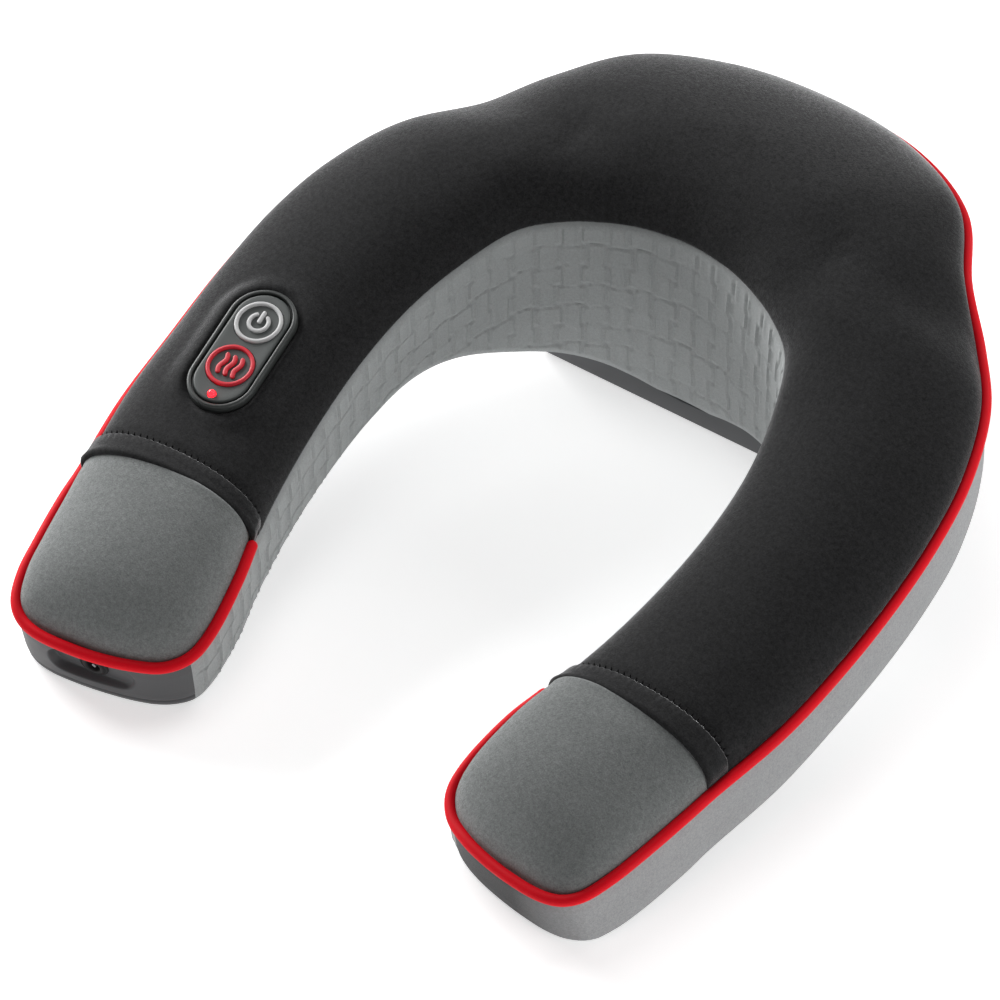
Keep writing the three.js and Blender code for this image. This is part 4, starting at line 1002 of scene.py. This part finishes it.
# -------- power inlet
JACK = np.array([-92.3, -157.9 - ORIGIN_Y, 14.3])
JACK_TILT, JACK_TURN = math.pi / 2 + 0.23, 0.14
RECESS_LENGTH, RECESS_WIDTH, RECESS_FLOOR = 35.5, 13.0, -2.4
COLLAR_HOLE = 4.4, 5.0  # the radii between which the recess's floor falls away
COLLAR_PROFILE = [
    (2.9, -7.0), (2.9, -1.6), (3.2, -1.1), (3.8, -0.9), (4.3, -1.1), (4.5, -1.7), (4.7, -2.0),
    (5.1, -2.0), (5.3, -1.7), (5.6, -1.5), (5.9, -1.7), (6.0, -2.3), (6.0, -3.2), (5.0, -4.5),
    (4.6, -7.0),
]


def jack_axes():
    """The recess's own axes: along it, up it and out of it."""
    c, s = math.cos(JACK_TILT), math.sin(JACK_TILT)
    along = np.array([math.cos(JACK_TURN), math.sin(JACK_TURN), 0])
    up = np.array([-c * math.sin(JACK_TURN), c * math.cos(JACK_TURN), s])
    return along, up, np.cross(along, up)


def on_jack(points):
    """Points of the inlet's own frame in the part's frame."""
    p = np.asarray(points, float)
    along, up, out = jack_axes()
    return JACK + p[..., :1] * along + p[..., 1:2] * up + p[..., 2:3] * out


def build_inlet():
    seam = np.vstack([TIP_INNER[-3:-1], TIP_END_SEAM, TIP_OUTER[1]])
    tops, feet = under_piping(seam) * MIRROR, tip_foot(seam) * MIRROR
    grid, out, _, _, up = wall_grid(tops, feet, 0.3, 90, FRONTWARD, (1, 1))
    along, upward, outward = jack_axes()
    away = grid - JACK
    x, y, z = away @ along, away @ upward, away @ outward
    recess = stadium_distance(y, x, RECESS_LENGTH, RECESS_WIDTH)
    sunk = 1 - smoothstep(recess, -1.5, 0.5)
    grid += outward * (sunk * (RECESS_FLOOR - z))[..., None]
    grid += outward * (-5.0 * (1 - smoothstep(np.hypot(x, y), *COLLAR_HOLE)))[..., None]
    lip = np.exp(-0.5 * ((up - 3.2) / 0.35) ** 2)
    grid -= out[:, None, :] * (0.35 * lip)[..., None]
    cap = wall_piece("left_end_cap_shell", grid, out)
    finish_piece(cap, DARK_PLASTIC, "dark_plastic", "left_end_cap")
    collar = ring_piece("dc_jack_ring", on_jack(lathe_rings(COLLAR_PROFILE, 64)), wrap=True)
    finish_piece(collar, BLACK_RUBBER, "black_rubber", "dc_jack_collar")


build_inlet()


# -------- base, trays and feet
def build_base():
    base = rounded_copy("base_shell", "base_housing", 1.2)
    finish_piece(base, BASE_PLASTIC, "dark_plastic", "base_shell")
    for side in ("left", "right"):
        tray = rounded_copy(f"{side}_arm_tray", f"{side}_arm_bottom", 0.6)
        finish_piece(tray, BASE_PLASTIC, "dark_plastic", f"{side}_arm_tray")
    for number in range(1, 5):
        low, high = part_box(f"foot_{number}")
        middle = np.array((low + high) / 2) / MM
        tall = (high - low)[2] / MM
        r = (high - low)[0] / MM / 2
        profile = [(r, tall), (r, 0.5), (r - 0.15, 0.15), (r - 0.5, 0.0), (r - 1.4, 0.0), (r - 1.7, 0.2),
                   (r - 2.0, 0.25), (r - 2.3, 0.2), (r - 2.6, 0.05), (0.5, 0.05)]
        rings = lathe_rings(profile, 48, middle[:2])
        foot = ring_piece(f"foot_pad_{number}", rings)
        finish_piece(foot, BLACK_RUBBER, "black_rubber", f"foot_{number}")


build_base()


# -------- control pod
def boolean_cut(obj, cutters):
    """Cuts the cutters out of a piece and removes them."""
    for cutter in cutters:
        cut = obj.modifiers.new("cut", "BOOLEAN")
        cut.object = cutter
        cut.operation = "DIFFERENCE"
        cut.solver = "EXACT"
    apply_modifiers(obj)
    for cutter in cutters:
        bpy.data.objects.remove(cutter)
    return sharp_by_angle(obj)


def strip(name, path, half, high, look, slot, body):
    """A raised line of rounded section along a flat path on a button."""
    path = np.asarray(path, float)
    low = 1.5
    way = unit(np.gradient(path, axis=0))
    side = np.c_[-way[:, 1], way[:, 0]]
    section = [(-1, low), (-1, high - 0.35), (-0.86, high - 0.12), (-0.6, high), (0, high + 0.04),
               (0.6, high), (0.86, high - 0.12), (1, high - 0.35), (1, low)]
    rings = []
    ends = [(0.25, 0.97), (0.6, 0.8), (0.88, 0.48)]
    stations = [(path[0] - way[0] * half * a, side[0], b) for a, b in reversed(ends)]
    stations += [(p, s, 1.0) for p, s in zip(path, side)]
    stations += [(path[-1] + way[-1] * half * a, side[-1], b) for a, b in ends]
    for p, s, share in stations:
        rings.append([[*(p + s * half * share * a), h] for a, h in section])
    obj = ring_piece(name, on_pod(np.array(rings)))
    return finish_piece(sharp_by_angle(obj, 60), look, slot, body=body)


def build_pod():
    bezel_profile = [(0.0, -1.2), (0.0, 1.2), (0.1, 1.8), (0.4, 2.25), (0.8, 2.4), (1.2, 2.4),
                     (1.5, 2.3), (1.66, 2.05), (1.7, 1.7), (1.75, 0.2), (2.6, 0.1), (2.6, -1.2)]
    bezel = ring_piece("pod_bezel_ring", on_pod(stadium_rings(bezel_profile, POD_LENGTH, POD_WIDTH)),
                       wrap=True)
    finish_piece(sharp_by_angle(bezel, 50), BEZEL_PLASTIC, "grey_plastic", "pod_bezel")

    plate_profile = [(2.75, 0.25), (2.55, 0.6), (2.5, 1.5), (2.62, 1.95), (2.9, 2.2), (3.4, 2.3),
                     (5.0, 2.2), (8.0, 2.05), (11.0, 2.0)]
    rings = stadium_rings(plate_profile, POD_LENGTH, POD_WIDTH)
    plate = ring_piece("pod_face", on_pod(rings))
    cutters = []
    for end in (1, -1):
        rings = lathe_rings([(BUTTON_RADIUS + 0.35, -3), (BUTTON_RADIUS + 0.35, 6)], 96,
                            (0, BUTTON_MIDDLE + end * BUTTON_SPACING / 2))
        cutters.append(ring_piece("cutter", on_pod(rings)))
    rings = lathe_rings([(1.85, -3), (1.85, 6)], 48, (0, LED_OFFSET))
    cutters.append(ring_piece("cutter", on_pod(rings)))
    boolean_cut(plate, cutters)
    finish_piece(plate, FACE_PLASTIC, "grey_plastic", "pod_faceplate")

    for use, end, look, slot in (("power", 1, WHITE_PLASTIC, "white_plastic"),
                                 ("heat", -1, RED_PLASTIC, "red_plastic")):
        centre = np.array([0, BUTTON_MIDDLE + end * BUTTON_SPACING / 2])
        body = f"{use}_button_body"
        r = BUTTON_RADIUS
        cap_profile = [(1.6, -2.6), (1.6, -0.4), (r, -0.4), (r, 1.7), (r - 0.5, 1.95), (r - 2.2, 1.9),
                       (r - 4, 1.8), (2.5, 1.72), (0.8, 1.7)]
        cap = ring_piece(f"{use}_button_cap", on_pod(lathe_rings(cap_profile, 96, centre)))
        finish_piece(sharp_by_angle(cap, 50), FACE_PLASTIC, "grey_plastic", f"{use}_button", body=body)
        ring_profile = [(r + 0.05, 1.0), (r + 0.05, 2.45), (r - 0.1, 2.8), (r - 0.4, 2.98),
                        (r - 0.75, 3.0), (r - 1.1, 2.98), (r - 1.4, 2.8), (r - 1.55, 2.45),
                        (r - 1.55, 1.5)]
        ring = ring_piece(f"{use}_button_ring", on_pod(lathe_rings(ring_profile, 96, centre)), wrap=True)
        finish_piece(sharp_by_angle(ring, 60), look, slot, body=body)
        if use == "power":
            angle = math.pi / 2 + np.linspace(math.radians(38), 2 * math.pi - math.radians(38), 60)
            loop = centre + 3.75 * np.c_[np.cos(angle), np.sin(angle)]
            strip("power_symbol_loop", loop, 0.78, 2.75, look, slot, body)
            bar = centre + np.c_[np.zeros(8), np.linspace(0.4, 4.5, 8)]
            strip("power_symbol_bar", bar, 0.78, 2.8, look, slot, body)
        else:
            s = np.linspace(-1, 1, 33)
            for k in (-1, 0, 1):
                wave = centre + np.c_[k * 3.2 + 0.55 * np.sin(math.pi * s), 3.9 * s]
                strip(f"heat_symbol_{k + 2}", wave, 0.9, 2.75, look, slot, body)
    profile = [(1.6, -0.6), (1.6, 2.3), (1.5, 2.75), (1.25, 3.2), (0.9, 3.5), (0.45, 3.68), (0.1, 3.72)]
    dome = ring_piece("led_dome", on_pod(lathe_rings(profile, 40, (0, LED_OFFSET))))
    finish_piece(dome, LED_RED, "led_red", "led_lens")


build_pod()

# -------- floor and light
floor_material = Nodes("floor")
shade = floor_material.noise(60, 2.0, 0.5)
floor_material.feed(floor_material.shader.inputs["Base Color"],
                    floor_material.mix(shade, (0.9, 0.9, 0.9), (0.92, 0.92, 0.92)))
floor_material.set(Roughness=0.9, Specular_IOR_Level=0.1,
                   Emission_Color=(1, 1, 1, 1), Emission_Strength=0.58)
far = 9000  # mm to each side
floor = piece("floor", [[-far, -far, 0], [far, -far, 0], [far, far, 0], [-far, far, 0]],
              [(0, 1, 2, 3)], smooth=False)
floor.location.z = -0.0004
floor.data.materials.append(floor_material.material)

world = bpy.data.worlds.new("studio")
world.use_nodes = True
sky = world.node_tree.nodes["Background"]
sky.inputs["Color"].default_value = (1, 1, 1, 1)
sky.inputs["Strength"].default_value = 0.17
bpy.context.scene.world = world


def softbox(name, place, size, power):
    """A rectangular light that faces the object."""
    light = bpy.data.lights.new(name, "AREA")
    light.shape = "RECTANGLE"
    light.size, light.size_y = size
    light.energy = power
    obj = bpy.data.objects.new(name, light)
    bpy.context.scene.collection.objects.link(obj)
    obj.location = place
    obj.rotation_euler = (Vector((0, 0, 0.05)) - Vector(place)).to_track_quat("-Z", "Y").to_euler()


softbox("key", (-1.1, 0.2, 0.55), (0.8, 0.5), 18)
softbox("rim", (0.3, 1.4, 0.95), (1.2, 0.5), 9)
softbox("side", (1.6, 0.1, 0.35), (1.0, 0.5), 8)
softbox("top", (-0.4, 0.2, 1.9), (0.9, 0.8), 5)
bpy.context.scene.view_settings.view_transform = "Standard"
